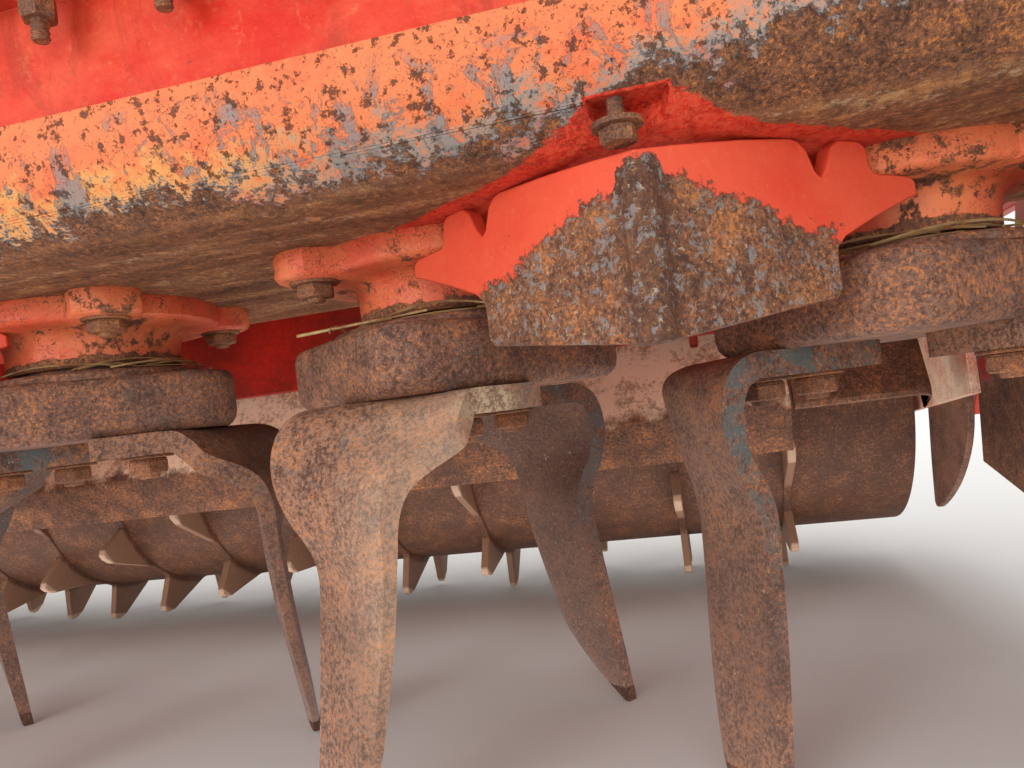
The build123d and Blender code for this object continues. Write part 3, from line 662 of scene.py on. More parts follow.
def all_finishes():
    """Every finish of the machine, by the name that the pieces use."""
    if finishes:
        return finishes
    c = bpy.context.scene.harrow_colours
    finishes.update({
        "trough": trough_paint(c),
        "guard": guard_paint(c),
        "housing": aged_paint("housing paint", c, c.coral, c.orange, 0.42, 0.5, 2.2, 1.4, (0.327, 0.006), True),
        "red": aged_paint("red paint", c, c.red, c.coral, 0.27, 0.3, 1.0, 0.7),
        # The panel paint starts from the red darkened as painted shade.
        "panel": aged_paint("panel paint", c, c.shaded_red, c.red, 0.10, 0.1, 1.2, 0.3),
        "cast": aged_paint("casting paint", c, c.red, c.coral, 0.30, 0.3, 1.6, 0.6),
        "bracket": aged_paint("bracket paint", c, c.bar, c.coral, 0.22, 0.1, 2.2, 1.2, rusty=True),
        "side": aged_paint("side plate paint", c, c.red, c.rust, 0.34, 0.6, 1.0, 0.6, (0.220, 0.14), True),
        "bar": bar_paint(c),
        "drum": drum_rust(c),
        "forging": forged_steel("rusted forging", c, c.forging, 0.35, 0.30),
        # The tines and their edges are darkened behind the rotor line as painted shade.
        "tine": forged_steel(
            "worn tine steel", c, c.tine, 0.55, 0.45, rear=0.75,
            lichens=((1096, -92, 257, 34, 0.5), (1075, -80, 258, 26, 0.5), (857, 64, 196, 14, 1.6),
                     (861, 66, 158, 12, 1.6)),
            # Painted shade spots on two tines that lie in shade, and a painted light spot on a lit tine.
            painted_shade_spots=((1220, -35, 130, 120, 2.0), (857, 50, 150, 110, 2.0)), painted_light_spots=((1100, -120, 150, 120, 1.8),)),
        "tine edge": forged_steel(
            "tine edge steel", c, c.forging, 0.85, 0.5, 0.52, 0.4,
            lichens=((857, 64, 196, 16, 1.8), (861, 66, 158, 14, 1.8))),
        "leaf": rusty_steel("rusted leaf plate", c, c.forging, c.rust, c.primer, 0.05),
        "scraper": rusty_steel("rusted scrapers", c, c.drum, c.rust_bright, c.steel, 0.35, 0.0009),
        "bolt": rusty_steel("rusted bolts", c, c.rust, c.rust_bright, c.primer, 0.4, fine=2.0),
        "steel": greased_steel(c),
        "plastic": black_plastic(c),
        "straw": dry_grass(c),
    })
    return finishes


# Operators

class HARROW_OT_solids(bpy.types.Operator):
    """Give every solid its finish and soft edges"""
    bl_idname = "harrow.solids"
    bl_label = "Finish the solids"

    finish_of = {
        "trough": "trough", "bearing_housings": "housing", "stone_guards": "guard", "gearbox": "cast",
        "levelling_bar": "bar", "bar_brackets": "bracket", "bar_hangers": "panel", "leaf_plates": "leaf",
        "rear_panel": "panel", "roller": "drum", "roller_stubs": "steel", "scrapers": "scraper",
        "lower_link_pins": "steel", "input_shaft": "steel", "arm_pins": "steel", "arm_stops": "bolt",
        "side_plate_studs": "bolt", "shaft_guard": "plastic", "side_plate_left": "side", "side_plate_right": "side",
    }

    def execute(self, context):
        looks = all_finishes()
        for node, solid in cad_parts.items():
            if node.startswith("holder_"):
                look = "forging"
            elif node.startswith("tines_"):
                look = "tine"
            else:
                look = self.finish_of.get(node, "red")
            solid.data.materials.clear()
            solid.data.materials.append(looks[look])
            weld(solid, "joined", 0.00001)
            soften(solid, context.scene.harrow_sizes.bevel)
        return {"FINISHED"}


class HARROW_OT_tines(bpy.types.Operator):
    """Make the forged tines below each holder"""
    bl_idname = "harrow.tines"
    bl_label = "Tines"

    # Sections along a tine: (out, height, across) of its near and far corners outside, then far and near inside
    sections = [
        (12, 268, 8, -6, 268, 88, -6, 252, 88, 12, 252, 8), (16, 268, 8, -2, 268, 88, -2, 252, 88, 16, 252, 8),
        (60, 268, 8, 20, 268, 88, 20, 252, 88, 60, 252, 8), (100, 268, 8, 42, 268, 88.5, 42, 252, 88, 100, 252, 8),
        (115, 268, 8, 50, 267, 91, 47, 251.5, 90, 113, 252, 8), (127, 265, 8, 56, 263, 96, 51, 247.5, 94, 118, 251, 8),
        (137, 257.5, 8.5, 62, 257, 100, 57, 241, 98, 124, 247.5, 8.5),
        (143, 247, 9, 67, 250, 102, 62, 235, 101, 128, 240, 9),
        (145.5, 236, 9.5, 76, 244, 101, 70, 230, 99, 129.5, 233, 9.5),
        (145.5, 225, 10, 92, 236, 95, 82, 223.5, 94, 129.5, 223, 10),
        (143, 212, 11, 105, 226, 90, 93, 216, 90, 127.5, 211.5, 11),
        (138, 199, 12, 112.5, 213, 87, 98.5, 206, 87, 123, 202, 12),
        (131.5, 187, 13, 116, 199, 85.5, 101, 194.5, 85.5, 117, 191.5, 13),
        (126.5, 175, 13.5, 117, 184, 85, 102, 182, 85, 111.5, 177.5, 13.5),
        (125, 160, 14, 118.5, 166, 84, 103.5, 165, 84, 110, 161, 14),
        (127, 140, 13.5, 120.5, 142, 80.5, 105.8, 141.5, 80.5, 112.2, 140, 13.5),
        (129, 120, 12.7, 122.7, 120, 76.7, 108.5, 120, 76.7, 114.3, 120, 12.7),
        (132, 92, 11.5, 126, 92, 71.5, 113, 92, 71.5, 118, 92, 11.5),
        (135.3, 62, 10.2, 130, 62, 66, 119, 62, 66, 122.5, 62, 10.2),
        (138.3, 36, 9.4, 134, 36, 51, 125, 36, 51, 126.5, 36, 9.4),
        (140.5, 16, 9, 137.5, 16, 33, 129.5, 16, 33, 130, 16, 9),
        (141.8, 4, 9, 140.2, 4, 20, 132.5, 4, 20, 132.5, 4, 9),
        (142.2, 0.4, 10, 141.2, 0.4, 15, 134, 0.4, 15, 134, 0.4, 10),
    ]
    # The far corners of the one tine that is less worn than the others, outside and inside
    broad_side = [
        (-6, 268, 88, -6, 252, 88), (-2, 268, 88, -2, 252, 88), (36, 268, 88, 36, 252, 88), (80, 268, 90, 79, 252, 90),
        (98, 267.5, 94, 94, 252, 93), (109, 264, 99, 100, 249.5, 98), (115, 259, 102, 104, 246, 101),
        (118.5, 252, 102, 106, 241, 101), (120.5, 244, 98.5, 106.5, 236, 98), (121.5, 234, 94, 106.5, 229, 94),
        (121.3, 222, 91, 106, 219, 91), (120, 208, 89.5, 104.5, 206, 89.5), (118.5, 196, 88, 103, 195, 88),
        (117.7, 184, 86, 102.5, 183, 86), (118.5, 166, 82.5, 103.5, 165, 82.5), (120.5, 142, 81, 105.8, 141.5, 81),
        (123, 120, 79.5, 109, 120, 79.5), (127, 92, 76.5, 114, 92, 76.5), (131, 62, 73, 120, 62, 73),
        (135, 36, 67.5, 126, 36, 67.5), (138, 16, 62, 130, 16, 62), (140.4, 4, 54, 132.7, 4, 54),
        (141.2, 0.4, 47, 134, 0.4, 47),
    ]
    corners = 8                 # of a section, with its far edge thinned
    bolt_places = (30, 78)      # of the two nuts along a tine's tongue

    def section_points(self, section):
        """A section's corners, with its far edge thinned, more so further down, where the knife is worn sharp."""
        near_out, far_out, far_in, near_in = (section[k:k + 3] for k in (0, 3, 6, 9))
        sharp = max(0.0, min(1.0, (215 - near_out[1]) / 50))
        wide = max(far_out[2] - near_out[2], 1.0)
        edge = min(0.3, (2.0 + 7.0 * sharp) / wide)
        side = between(far_out, far_in, 0.5)
        return (near_out, between(near_out, far_out, 0.5), between(near_out, far_out, 1 - edge),
                between(far_out, side, 0.45 * sharp), between(far_in, side, 0.45 * sharp),
                between(near_in, far_in, 1 - edge), between(near_in, far_in, 0.5), near_in)

    def execute(self, context):
        worn = smooth_line(self.sections, 3)
        broad = smooth_line([near[:3] + far + near[9:] for near, far in zip(self.sections, self.broad_side)], 3)
        for index in range(ROTORS):
            shape, nuts = Shape(), Shape()
            x0, hand = rotor_x(index), rotor_hand(index)
            for turn in (rotor_angle(index), rotor_angle(index) + 180):
                c, s = cos(radians(turn)), sin(radians(turn))

                def spot(out, z, across):
                    return (x0 + c * out + hand * s * across, s * out - hand * c * across, max(z, TINE_TIP))

                is_broad = index == ROTORS - 1 and turn > 180
                shape.loft([[spot(*point) for point in self.section_points(section)]
                            for section in (broad if is_broad else worn)])
                for out in self.bolt_places:
                    x, y, z = spot(out, TONGUE_UNDER, 48)
                    nuts.rod((x, y, z), (x, y, 249.5), 19, 20)
                    nuts.nut((x, y, 249.5), (0, 0, -1), 15.5, 12, 0.3 + turn)
                    nuts.rod((x, y, 238), (x, y, 234), 8.5, 14, 0, 7.0)
            number, body = index + 1, f"rotor_{index + 1}"
            pair = shape.finish(f"tine_pair_{number}", "tine", body, "worn_tine_steel", 0.0024, 40, 3,
                                [f"tines_{number}"])
            pair.data.materials.append(all_finishes()["tine edge"])
            for polygon in pair.data.polygons:
                if {v % self.corners for v in polygon.vertices} == {0, self.corners - 1}:
                    polygon.material_index = 1
            nuts.finish(f"tine_nuts_{number}", "bolt", body, "rusty_forging", 0.0006, 40, 1)
        return {"FINISHED"}


class HARROW_OT_holders(bpy.types.Operator):
    """Make the forged tine holders, with the straw that winds round their hubs"""
    bl_idname = "harrow.holders"
    bl_label = "Tine holders"

    # A holder's edge, as (height, how far it stands in), and its hub, as (height, radius)
    edge = ((268, 7), (270, 4.2), (274, 1.2), (280, 0), (304, 0), (309, 1.4), (311.4, 4), (312, 7))
    hub = ((311, 84), (315, 84), (317, 82.5), (317.8, 80), (318, 60), (326, 52))
    long_stalk = 8              # the index of the one rotor with a long straight stalk

    def execute(self, context):
        for index in range(ROTORS):
            shape = Shape()
            x0, turn = rotor_x(index), radians(rotor_angle(index))
            rings = []
            for z, inset in self.edge:
                outline = rounded_box(98 - inset, 86 - inset, 34 - inset * 0.5, 8)
                rings.append([
                    (x0 + x * cos(turn) - y * sin(turn), x * sin(turn) + y * cos(turn), z) for x, y in outline])
            shape.loft(rings)
            shape.loft([level_ring(x0, 0, z, radius, 64) for z, radius in self.hub])
            shape.rod((x0, 0, 318), (x0, 0, 350), 32, 40)
            shape.finish(f"holder_block_{index + 1}", "forging", f"rotor_{index + 1}", "rusty_forging", 0.0, 40,
                         replaces=[f"holder_{index + 1}"])
            self.straw(index, context.scene.harrow_sizes.straws)
        return {"FINISHED"}

    def straw(self, index, stalks):
        """Thin stalks lying in loops on the holder round the neck."""
        chance = random.Random(41 + index)
        straws = Shape()
        x0 = rotor_x(index)
        for count in range(stalks):
            start = chance.uniform(0, 2 * pi)
            sweep = chance.uniform(0.4, 1.9) * chance.choice((-1, 1))
            radius = chance.uniform(66, 76)
            drift = chance.uniform(-4, 16) if count % 3 else chance.uniform(10, 26)
            thick = chance.uniform(0.5, 1.0)
            lift = chance.uniform(0.0, 7.0)
            rings = []
            for i in range(13):
                t = i / 12
                at = start + sweep * t
                r = radius + drift * t * t + chance.uniform(-0.4, 0.4)
                z = max(319.0 - max(r - 82, 0) * 0.35, 313.5) + lift * (0.3 + sin(pi * t)) + chance.uniform(-0.2, 0.2)
                rings.append([(x0 + out * cos(at), out * sin(at), up) for out, up in arc(r, z, thick, 0, 240, 2)])
            straws.loft(rings)
        if index == self.long_stalk:
            straws.rod((x0 + 6, -70, 322), (x0 - 88, -66, 318.6), 0.9, 5, 0, 1.2)
        if straws.points:
            straws.finish(f"straw_{index + 1}", "straw", f"rotor_{index + 1}", "rusty_forging", 0.0, 60)


class HARROW_OT_housings(bpy.types.Operator):
    """Make the bearing housings with their bolts"""
    bl_idname = "harrow.housings"
    bl_label = "Bearing housings"

    flange, bolt_circle, lobe = 96, 98, 25      # radii of the flange, its bolts' circle and the lobes round them
    sides = 96
    # A housing, down inside to the rim of its neck and up outside to the flange, as (height, radius), and the
    # flange's edge, as (height, how far it stands in)
    neck = ((350, 54), (330, 54), (323, 56), (323, 61), (325, 63), (341, 63.5), (347, 66), (351, 72))
    flange_edge = ((352, 5), (353.5, 1.6), (355.5, 0), (367, 0), (370, 1.0))

    def reach(self, at):
        """The flange's radius at an angle: round, with a lobe round each bolt."""
        off = at % (pi / 2) - pi / 4
        across = self.bolt_circle * sin(off)
        if abs(across) >= self.lobe:
            return self.flange
        lobe = self.bolt_circle * cos(off) + (self.lobe ** 2 - across ** 2) ** 0.5
        return (self.flange ** 8 + lobe ** 8) ** 0.125 * 0.985

    def execute(self, context):
        shape, bolts = Shape(), Shape()
        outline = [(self.reach(at), at) for at in (2 * pi * i / self.sides for i in range(self.sides))]
        size = context.scene.harrow_sizes.flange_bolt * 500
        for index in range(ROTORS):
            x0 = rotor_x(index)
            rings = [level_ring(x0, 0, z, radius, self.sides) for z, radius in self.neck]
            for z, inset in self.flange_edge:
                rings.append([(x0 + (r - inset) * cos(at), (r - inset) * sin(at), z) for r, at in outline])
            shape.loft(rings)
            for corner, (x, y) in enumerate(arc(x0, 0, self.bolt_circle, 45, 315, 3)):
                bolts.rod((x, y, 352.5), (x, y, 349.8), size * 1.25, 20)
                bolts.nut((x, y, 350), (0, 0, -1), size, 9, 0.4 + corner + index)
                bolts.rod((x, y, 341.5), (x, y, 338), size * 0.5, 14, 0, size * 0.42)
        shape.finish("bearing_castings", "housing", "frame", "faded_orange_paint", 0.0, 38,
                     replaces=["bearing_housings"])
        bolts.finish("bearing_bolts", "bolt", "frame", "faded_orange_paint", 0.0006, 40, 1)
        return {"FINISHED"}


class HARROW_OT_guards(bpy.types.Operator):
    """Make the folded stone guards"""
    bl_idname = "harrow.guards"
    bl_label = "Stone guards"

    # Half of a guard, as (across, height): up the fold, along the top with its two notches, and down the side
    half = ((0, 273), (0, 361.5), (20, 364.5), (50, 368), (76, 369.8), (80, 368.6), (84, 364), (87.5, 353), (90.5, 350),
            (94, 355), (98, 366), (102, 370), (114, 370), (118, 367), (119, 356), (122, 352.6), (142, 352), (146, 349),
            (146, 341), (141, 339.5), (118, 329), (100, 319.5), (95, 314), (94, 308), (94, 292), (91, 288))
    # The rib behind the fold, as (height, radius)
    rib = ((273.4, 7.5), (275, 9.0), (300, 9.6), (335, 9.4), (348, 9.0), (353, 7.5), (356.5, 4.5), (358, 1.0))

    def execute(self, context):
        shape = Shape()
        for middle in GUARD_PLACES:
            for side in SIDES:
                front = [(middle + side * x, GUARD_FOLD + GUARD_SLOPE * x, z) for x, z in self.half]
                back = [(middle + side * max(x - 6, 0), GUARD_FOLD + (8 + GUARD_SLOPE * x if x else 12.5), z)
                        for x, z in self.half]
                a, b = shape.add(front), shape.add(back)
                count = len(self.half)
                shape.faces += [tuple(range(a, a + count)), tuple(reversed(range(b, b + count)))]
                shape.join(a, b, count, 1)
            shape.loft([level_ring(middle, GUARD_FOLD + 6.5, z, radius, 24) for z, radius in self.rib])
        guard = shape.finish("stone_guard_plates", "guard", "frame", "faded_orange_paint",
                             replaces=["stone_guards"])
        weld(guard, "joined at the fold", 0.0001)
        soften(guard, 0.0022, 3, 40)
        return {"FINISHED"}


class HARROW_OT_fasteners(bpy.types.Operator):
    """Make the bolts and nuts of the cover, and those in the pockets behind the guards"""
    bl_idname = "harrow.fasteners"
    bl_label = "Bolts and nuts"

    row, row_end = 217, 1480    # how far the cover's rows of bolts stand from the rotor line, and how far they go

    def execute(self, context):
        sizes = context.scene.harrow_sizes
        size, pitch = sizes.cover_bolt * 500, sizes.cover_pitch * 1000
        under, over = Shape(), Shape()
        count = int(self.row_end / pitch)
        for k in range(-count, count + 1):
            for y in (-self.row, self.row):
                x = k * pitch + 11
                under.rod((x, y, RIM_UNDER), (x, y, 486), size * 0.9, 16)
                under.nut((x, y, 486), (0, 0, -1), size, 13.5, k * 0.7)
                for thread in range(4):
                    z = 474 - thread * 3.0
                    under.rod((x, y, z), (x, y, z - 1.5), size * 0.42, 12, 0, size * 0.50)
                    under.rod((x, y, z - 1.5), (x, y, z - 3.0), size * 0.50, 12, 0, size * 0.42)
                over.nut((x, y, COVER_TOP), (0, 0, 1), size, 7, k * 0.4)
        for middle in GUARD_PLACES:
            x, y = middle - 6, GUARD_FOLD + 4
            under.rod((x, y, 388), (x, y, 374), 4, 14)
            under.rod((x, y, 376), (x, y, 373.5), 12, 20)
            under.nut((x, y, 374), (0, 0, -1), 9, 8, 0.5)
        under.finish("cover_nuts", "bolt", "frame", "red_paint", 0.0, 40)
        over.finish("cover_bolt_heads", "cast", "frame", "red_paint", 0.0, 40)
        return {"FINISHED"}


class HARROW_OT_levelling_bar(bpy.types.Operator):
    """Make the folded levelling bar with its end pieces, and the plates that carry it"""
    bl_idname = "harrow.levelling_bar"
    bl_label = "Levelling bar"

    # Outlines of (y, z)
    sheet = ((253.5, 329.5), (246.2, 325.6), (204.4, 231), (203.6, 226.5), (204.6, 222.5), (228.6, 181.6),
             (235.4, 185.8), (213.5, 223.6), (213, 226.5), (213.6, 229.2), (255.5, 323.5))
    end = ((252.5, 330), (244.8, 326.2), (202.8, 231), (202.2, 226), (204, 221.8), (208, 220.2), (213, 221.5),
           (214.6, 228), (256.5, 324))
    strip = ((245, 324), (231, 290), (227.5, 291.5), (241.5, 325.4))
    leaf = ((258, 232), (252, 211), (256, 190), (268, 168), (288, 146), (314, 125), (344, 107), (374, 93), (388, 89),
            (395, 93), (393, 110), (385, 150), (375, 190), (366, 232))
    bracket = ((214, 455), (214, 216), (425, 193), (342, 291), (262, 345), (244, 455))
    # Sections round an end piece's corner, as (x, how far back), and the way that it goes back
    corner = ((1306, 0), (1412, 0), (1416.6, 0.9), (1420.5, 3.5), (1423.1, 7.4), (1424, 12), (1424, 34))
    back_y, back_z = 0.915, -0.403

    def execute(self, context):
        bar, strips, leaves, brackets = Shape(), Shape(), Shape(), Shape()
        bar.across(self.sheet, -1303, 1303)
        for side in SIDES:
            bar.loft([[(side * x, y + back * self.back_y, z + back * self.back_z) for y, z in self.end]
                      for x, back in self.corner])
            strips.across(self.strip, side * 1222, side * 1228)
            leaves.across(smooth_line(self.leaf, 4), side * LEAF_LINE, side * (LEAF_LINE + 6))
            brackets.holed_plate(self.bracket, (271, 262), 7.5, side * BRACKET_LINE, side * LEAF_LINE)
        bar.finish("levelling_bar_sheet", "bar", "frame", "worn_bar_paint", 0.0028, 30, 4, ["levelling_bar"])
        strips.finish("bar_strips", "panel", "frame", "red_paint", 0.0006, 35, 1)
        leaves.finish("leaf_plate_pair", "leaf", "frame", "worn_bar_paint", 0.0012, replaces=["leaf_plates"])
        brackets.finish("bar_bracket_plates", "bracket", "frame", "worn_bar_paint", 0.0010,
                        replaces=["bar_brackets"])
        return {"FINISHED"}


class HARROW_OT_headstock(bpy.types.Operator):
    """Make the small parts of the gearbox and the headstock: lid, ribs, bolts, weld beads and splines"""
    bl_idname = "harrow.headstock"
    bl_label = "Headstock details"

    # The shaft's round part and its splines, as (y, radius) and (y, how much less than the full radius)
    shaft = ((-78, 22.5), (-208, 22.5), (-210, 21), (-212, 14.8))
    splines = ((-211, 0), (-252, 0), (-253, 3.6), (-262, 3.6), (-263, 0), (-317.5, 0), (-320, 2.2))
    shaft_sides = 72

    def execute(self, context):
        self.lid().finish("gearbox_lid", "cast", "frame", "cast_paint", 0.0015, 40)
        self.bolts().finish("headstock_bolts", "bolt", "frame", "bare_steel", 0.0006, 40, 1)
        self.welds().finish("weld_beads", "red", "frame", "red_paint", 0.0, 60)
        shaft = Shape()
        shaft.loft([self.shaft_ring(y, [radius]) for y, radius in self.shaft])
        # Each spline takes 12 points of the ring, and the groove 5 of them
        toothed = [SHAFT_RADIUS - SPLINE_DEPTH] * 5 + [SHAFT_RADIUS] * 7
        shaft.loft([self.shaft_ring(y, [radius - less for radius in toothed]) for y, less in self.splines])
        shaft.finish("splined_shaft", "steel", "pto_shaft", "bare_steel", 0.0, 30, 1, ["input_shaft"])
        return {"FINISHED"}

    def shaft_ring(self, y, radii):
        """A ring of points round the input shaft. The radii repeat along it."""
        ring = []
        for i in range(self.shaft_sides):
            radius, at = radii[i % len(radii)], 2 * pi * i / self.shaft_sides
            ring.append((radius * sin(at), y, INPUT_HEIGHT + radius * cos(at)))
        return ring

    def lid(self):
        """The gearbox's two-stepped lid and the ribs on its sides."""
        lid = Shape()
        lid.prism(rounded_box(124, 92, 26, 5), 745, LID_SEAT)
        lid.prism(rounded_box(80, 56, 14, 5), LID_SEAT, LID_TOP)
        for z in (560, 590, 620, 650):
            for side in SIDES:
                lid.prism([(side * 129, -74), (side * 140, -70), (side * 140, 70), (side * 129, 74)], z, z + 7)
        return lid

    def bolts(self):
        bolts = Shape()
        up = (0, 0, 1)
        for side in SIDES:
            for y in (-70, 0, 70):
                bolts.nut((side * 108, y, LID_SEAT), up, 10, 8, y * 0.1)
            for y, turn in ((side * 38, 0.2), (-side * 38, 0.7)):
                bolts.nut((side * 62, y, LID_TOP), up, 8, 6, turn)
        for k, (x, z) in enumerate(arc(0, INPUT_HEIGHT, 49, 30, 330, 5)):
            bolts.nut((x, -205, z), (0, -1, 0), 7.5, 6, k)
        bolts.nut((40, 0, LID_TOP), up, 13, 12)
        for side in SIDES:
            for y in (110, 160):
                for x in (350, 372):
                    bolts.nut((side * x, y, BEAM_TOP), up, 11, 9, x + y)
            for y, z in ((-240, 585), (-300, 600), (-330, 560)):
                bolts.nut((side * CHEEK_FACE, y, z), (side, 0, 0), 13, 10, y)
                bolts.rod((side * CHEEK_FACE, y, z), (side * 415, y, z), 17, 20)
            for x in (430, 560, 690):
                for y in (-184, 184):
                    bolts.nut((side * x, y, COVER_TOP), up, 11, 9, x)
            # The linch pin through a lower link pin, and its ring
            x = side * LINCH_X
            bolts.rod((x, PIN_Y, PIN_Z + 17), (x, PIN_Y, PIN_Z - 17), 4.5, 12)
            ring = [(x, y, z) for y, z in arc(PIN_Y, PIN_Z, 19, 90, -90, 15)]
            for a, b in zip(ring, ring[1:]):
                bolts.rod(a, b, 1.8, 8)
        return bolts

    def welds(self):
        """Uneven beads along the beams, the cheeks' feet and the mast's top."""
        chance = random.Random(7)
        runs = [((-750, y, 512), (750, y, 512)) for y in (-200, -100, 100, 200)]
        for side in SIDES:
            runs += [((side * x, -200, BEAM_TOP), (side * x, 190, BEAM_TOP)) for x in (392.5, CHEEK_FACE)]
            runs.append(((side * 26, -300, 1072), (side * 26, -375, 1072)))
        welds = Shape()
        up = Vector((0, 0, 1))
        for start, end in runs:
            start, end = Vector(start), Vector(end)
            count = int((end - start).length / 7)
            across = (end - start).normalized().cross(up)
            rings = []
            for k in range(count + 1):
                at = start.lerp(end, k / count)
                r = 4.2 + chance.uniform(-0.6, 0.9)
                rings.append([tuple(at + across * a + up * b) for a, b in arc(0, 0, r, 0, 300, 5)])
            welds.loft(rings)
        return welds


class HARROW_OT_sides(bpy.types.Operator):
    """Make the bearings, nuts and pins at the machine's two sides, and the scrapers' bolts"""
    bl_idname = "harrow.sides"
    bl_label = "Side details"

    def execute(self, context):
        hubs, pins, nuts, screws = Shape(), Shape(), Shape(), Shape()
        for side in SIDES:
            def outside(out, y, z):
                """A place that stands out from the arm's outer face."""
                return (side * (ARM_FACE + out), y, z)

            hub, pin = (ROLLER_Y, ROLLER_Z), (ARM_PIN_Y, ARM_PIN_Z)
            hubs.rod(outside(0, *hub), outside(5, *hub), 62, 48)
            hubs.rod(outside(5, *hub), outside(9.6, *hub), 40, 40, 0, 36)
            for k, place in enumerate(arc(*hub, 50, 45, 315, 3)):
                hubs.nut(outside(4.5, *place), (side, 0, 0), 9, 4.8, k)
            pins.rod(outside(0.4, *pin), outside(4.5, *pin), 33, 36)
            pins.rod(outside(7, ARM_PIN_Y, ARM_PIN_Z - 26), outside(7, ARM_PIN_Y, ARM_PIN_Z + 26), 2.4, 8)
            for y in (40, 210):
                nuts.nut((side * 1549.6, y, 440), (side, 0, 0), 15, 3.4, y)
            for y, z in ((-170, 470), (170, 470), (-170, 400), (170, 400)):
                nuts.nut((side * 1532, y, z), (side, 0, 0), 10, 4.2, z)
        hubs.finish("roller_bearings", "cast", "roller_arms", "cast_paint", 0.0008, 40, 1)
        pins.finish("arm_pin_washers", "bolt", "frame", "bare_steel", 0.0005, 40, 1)
        nuts.finish("side_nuts", "bolt", "frame", "bare_steel", 0.0005, 40, 1)
        for gap in range(RINGS - 1):
            for offset in (-24, 24):
                x = (gap - (RINGS - 2) / 2) * RING_PITCH + offset
                screws.rod((x, 691, 548), (x, 693, 548), 11, 20)
                screws.nut((x, 692, 548), (0, 1, 0), 9, 7, gap)
        screws.finish("scraper_bolts", "bolt", "roller_arms", "rusty_drum", 0.0, 40)
        return {"FINISHED"}


class HARROW_OT_roller(bpy.types.Operator):
    """Make the packer roller with its toothed rings"""
    bl_idname = "harrow.roller"
    bl_label = "Packer roller"

    # Half of the drum, as (x, radius), and a tooth of a ring, as (degrees, radius): a fin with one steep edge
    drum_end = ((1425, 30), (1425, 180), (DRUM_HALF, 181), (DRUM_HALF, DRUM_RADIUS))
    tooth = ((-6.0, 192.5), (-3.4, 194), (-2.6, 238), (-1.6, 244), (0.2, 243.5), (3.0, 238), (21.0, 194))

    def execute(self, context):
        shape = Shape()
        profile = [(-x, radius) for x, radius in self.drum_end] + list(reversed(self.drum_end))
        shape.loft([[(x, y, z) for y, z in arc(ROLLER_Y, ROLLER_Z, radius, 0, 357, 119)] for x, radius in profile])
        count = TEETH * len(self.tooth)
        for index in range(RINGS):
            start = -90.0 - index * RING_TURN
            outline = [polar(ROLLER_Y, ROLLER_Z, reach, start + number * 360 / TEETH + turn)
                       for number in range(TEETH) for turn, reach in self.tooth]
            inner = arc(ROLLER_Y, ROLLER_Z, 187, start - 7, start + 353, count)[:-1]
            rims = []
            for side in SIDES:
                x = (index - (RINGS - 1) / 2) * RING_PITCH + side * 4.5
                rim, foot = (shape.add([(x, y, z) for y, z in line]) for line in (outline, inner))
                shape.join(rim, foot, count)
                rims.append(rim)
            shape.join(*rims, count)
        shape.finish("roller_drum", "drum", "roller", "rusty_drum", 0.0012, 32, replaces=["roller"])
        return {"FINISHED"}


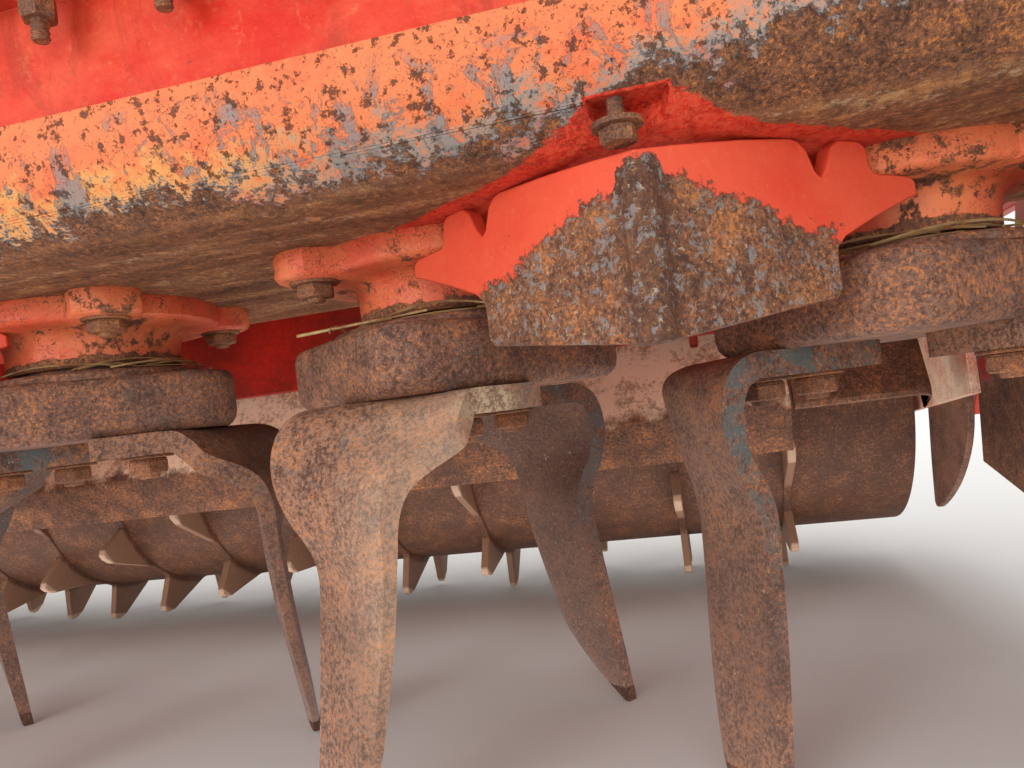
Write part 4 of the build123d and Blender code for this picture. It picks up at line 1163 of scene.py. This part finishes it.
class HARROW_OT_studio(bpy.types.Operator):
    """Make the floor, the soft lights and the camera"""
    bl_idname = "harrow.studio"
    bl_label = "Studio"

    # Name, place, what it points at, width and power in watts
    lights = (
        ("key", (-1.1, -3.9, 0.7), (1.0, -0.1, 0.25), 2.0, 80),
        ("low fill", (2.3, -3.3, 0.5), (1.1, 0.0, 0.25), 1.6, 22),
        ("high front", (0.0, -4.6, 3.4), (0.2, 0.0, 0.5), 3.0, 25),
        ("rear", (0.6, 4.2, 2.8), (0.4, 0.3, 0.2), 3.0, 80),
        ("ground light", (0.0, -0.05, 0.012), (0.0, 0.0, 2.0), 3.0, 6.5),
    )
    # The camera of the photograph: its place in metres, and how far it is turned, tilted and rolled in degrees
    eye = (1.2065, -0.5389 + SHIFT, 0.2511)
    yaw, pitch, roll = -12.2, 2.0, -7.1

    def execute(self, context):
        scene = context.scene
        settings = scene.harrow_studio
        self.floor(scene, settings.floor)
        self.sky(scene, settings.sky)
        for light in self.lights:
            self.light(scene, *light)
        self.camera(scene, settings.focal)
        scene.view_settings.view_transform = "Standard"
        return {"FINISHED"}

    def floor(self, scene, tint):
        f = Finish("pale floor")
        for value, socket in ((tint, "Base Color"), (0.9, "Roughness"), (0.1, "Specular IOR Level")):
            f.put(value, f.shader.inputs[socket])
        mesh = bpy.data.meshes.new("floor")
        mesh.from_pydata([(-40, -40, 0), (40, -40, 0), (40, 40, 0), (-40, 40, 0)], [], [(0, 1, 2, 3)])
        mesh.materials.append(f.material)
        floor = bpy.data.objects.new("floor", mesh)
        scene.collection.objects.link(floor)

    def sky(self, scene, brightness):
        """Even light from all round, which the camera itself sees as white."""
        world = bpy.data.worlds.new("even light")
        world.use_nodes = True
        nodes, links = world.node_tree.nodes, world.node_tree.links
        back = nodes["Background"]
        back.inputs["Color"].default_value = (1.0, 1.0, 1.0, 1.0)
        path = nodes.new("ShaderNodeLightPath")
        strength = nodes.new("ShaderNodeMath")
        strength.operation = "MAXIMUM"
        strength.inputs[1].default_value = brightness
        links.new(path.outputs["Is Camera Ray"], strength.inputs[0])
        links.new(strength.outputs[0], back.inputs["Strength"])
        scene.world = world

    def light(self, scene, name, place, target, size, power):
        lamp = bpy.data.lights.new(name, "AREA")
        lamp.shape = "DISK"
        lamp.size = size
        lamp.energy = power
        if name == "ground light":
            lamp.shape = "RECTANGLE"
            lamp.size_y = 0.6
        light = bpy.data.objects.new(name, lamp)
        light.location = place
        light.rotation_mode = "QUATERNION"
        light.rotation_quaternion = (Vector(target) - Vector(place)).to_track_quat("-Z", "Y")
        light.visible_camera = False
        scene.collection.objects.link(light)

    def camera(self, scene, focal):
        camera = bpy.data.cameras.new("camera")
        camera.sensor_width = 36.0
        camera.lens = focal
        camera.clip_start = 0.02
        camera.clip_end = 200.0
        yaw, pitch, roll = radians(self.yaw), radians(self.pitch), radians(self.roll)
        ahead = Vector((sin(yaw), cos(yaw), 0))
        right = Vector((cos(yaw), -sin(yaw), 0))
        up = Vector((0, 0, 1))
        forward = ahead * cos(pitch) + up * sin(pitch)
        over = up * cos(pitch) - ahead * sin(pitch)
        side = right * cos(roll) + over * sin(roll)
        top = over * cos(roll) - right * sin(roll)
        eye = bpy.data.objects.new("camera", camera)
        eye.matrix_world = Matrix.Translation(self.eye) @ Matrix((side, top, -forward)).transposed().to_4x4()
        scene.collection.objects.link(eye)
        scene.camera = eye


class HARROW_PT_parts(bpy.types.Panel):
    """Lists the pieces of the power harrow"""
    bl_idname = "HARROW_PT_parts"
    bl_label = "Power harrow"
    bl_space_type = "VIEW_3D"
    bl_region_type = "UI"
    bl_category = "Harrow"

    def draw(self, context):
        layout = self.layout
        for operator in OPERATORS:
            layout.operator(operator.bl_idname)
        for group in (context.scene.harrow_colours, context.scene.harrow_sizes, context.scene.harrow_studio):
            box = layout.box()
            for name in group.__annotations__:
                box.prop(group, name)


GROUPS = (HarrowColours, HarrowSizes, StudioSettings)
OPERATORS = (
    HARROW_OT_studio, HARROW_OT_solids, HARROW_OT_tines, HARROW_OT_holders, HARROW_OT_housings, HARROW_OT_guards,
    HARROW_OT_fasteners, HARROW_OT_levelling_bar, HARROW_OT_headstock, HARROW_OT_sides, HARROW_OT_roller,
)
CLASSES = GROUPS + OPERATORS + (HARROW_PT_parts,)


def register():
    for item in CLASSES:
        bpy.utils.register_class(item)
    bpy.types.Scene.harrow_colours = PointerProperty(type=HarrowColours)
    bpy.types.Scene.harrow_sizes = PointerProperty(type=HarrowSizes)
    bpy.types.Scene.harrow_studio = PointerProperty(type=StudioSettings)


def unregister():
    del bpy.types.Scene.harrow_studio
    del bpy.types.Scene.harrow_sizes
    del bpy.types.Scene.harrow_colours
    for item in reversed(CLASSES):
        bpy.utils.unregister_class(item)


def main():
    register()
    for operator in OPERATORS:
        group, name = operator.bl_idname.split(".")
        getattr(getattr(bpy.ops, group), name)()


if __name__ == "__main__":
    main()
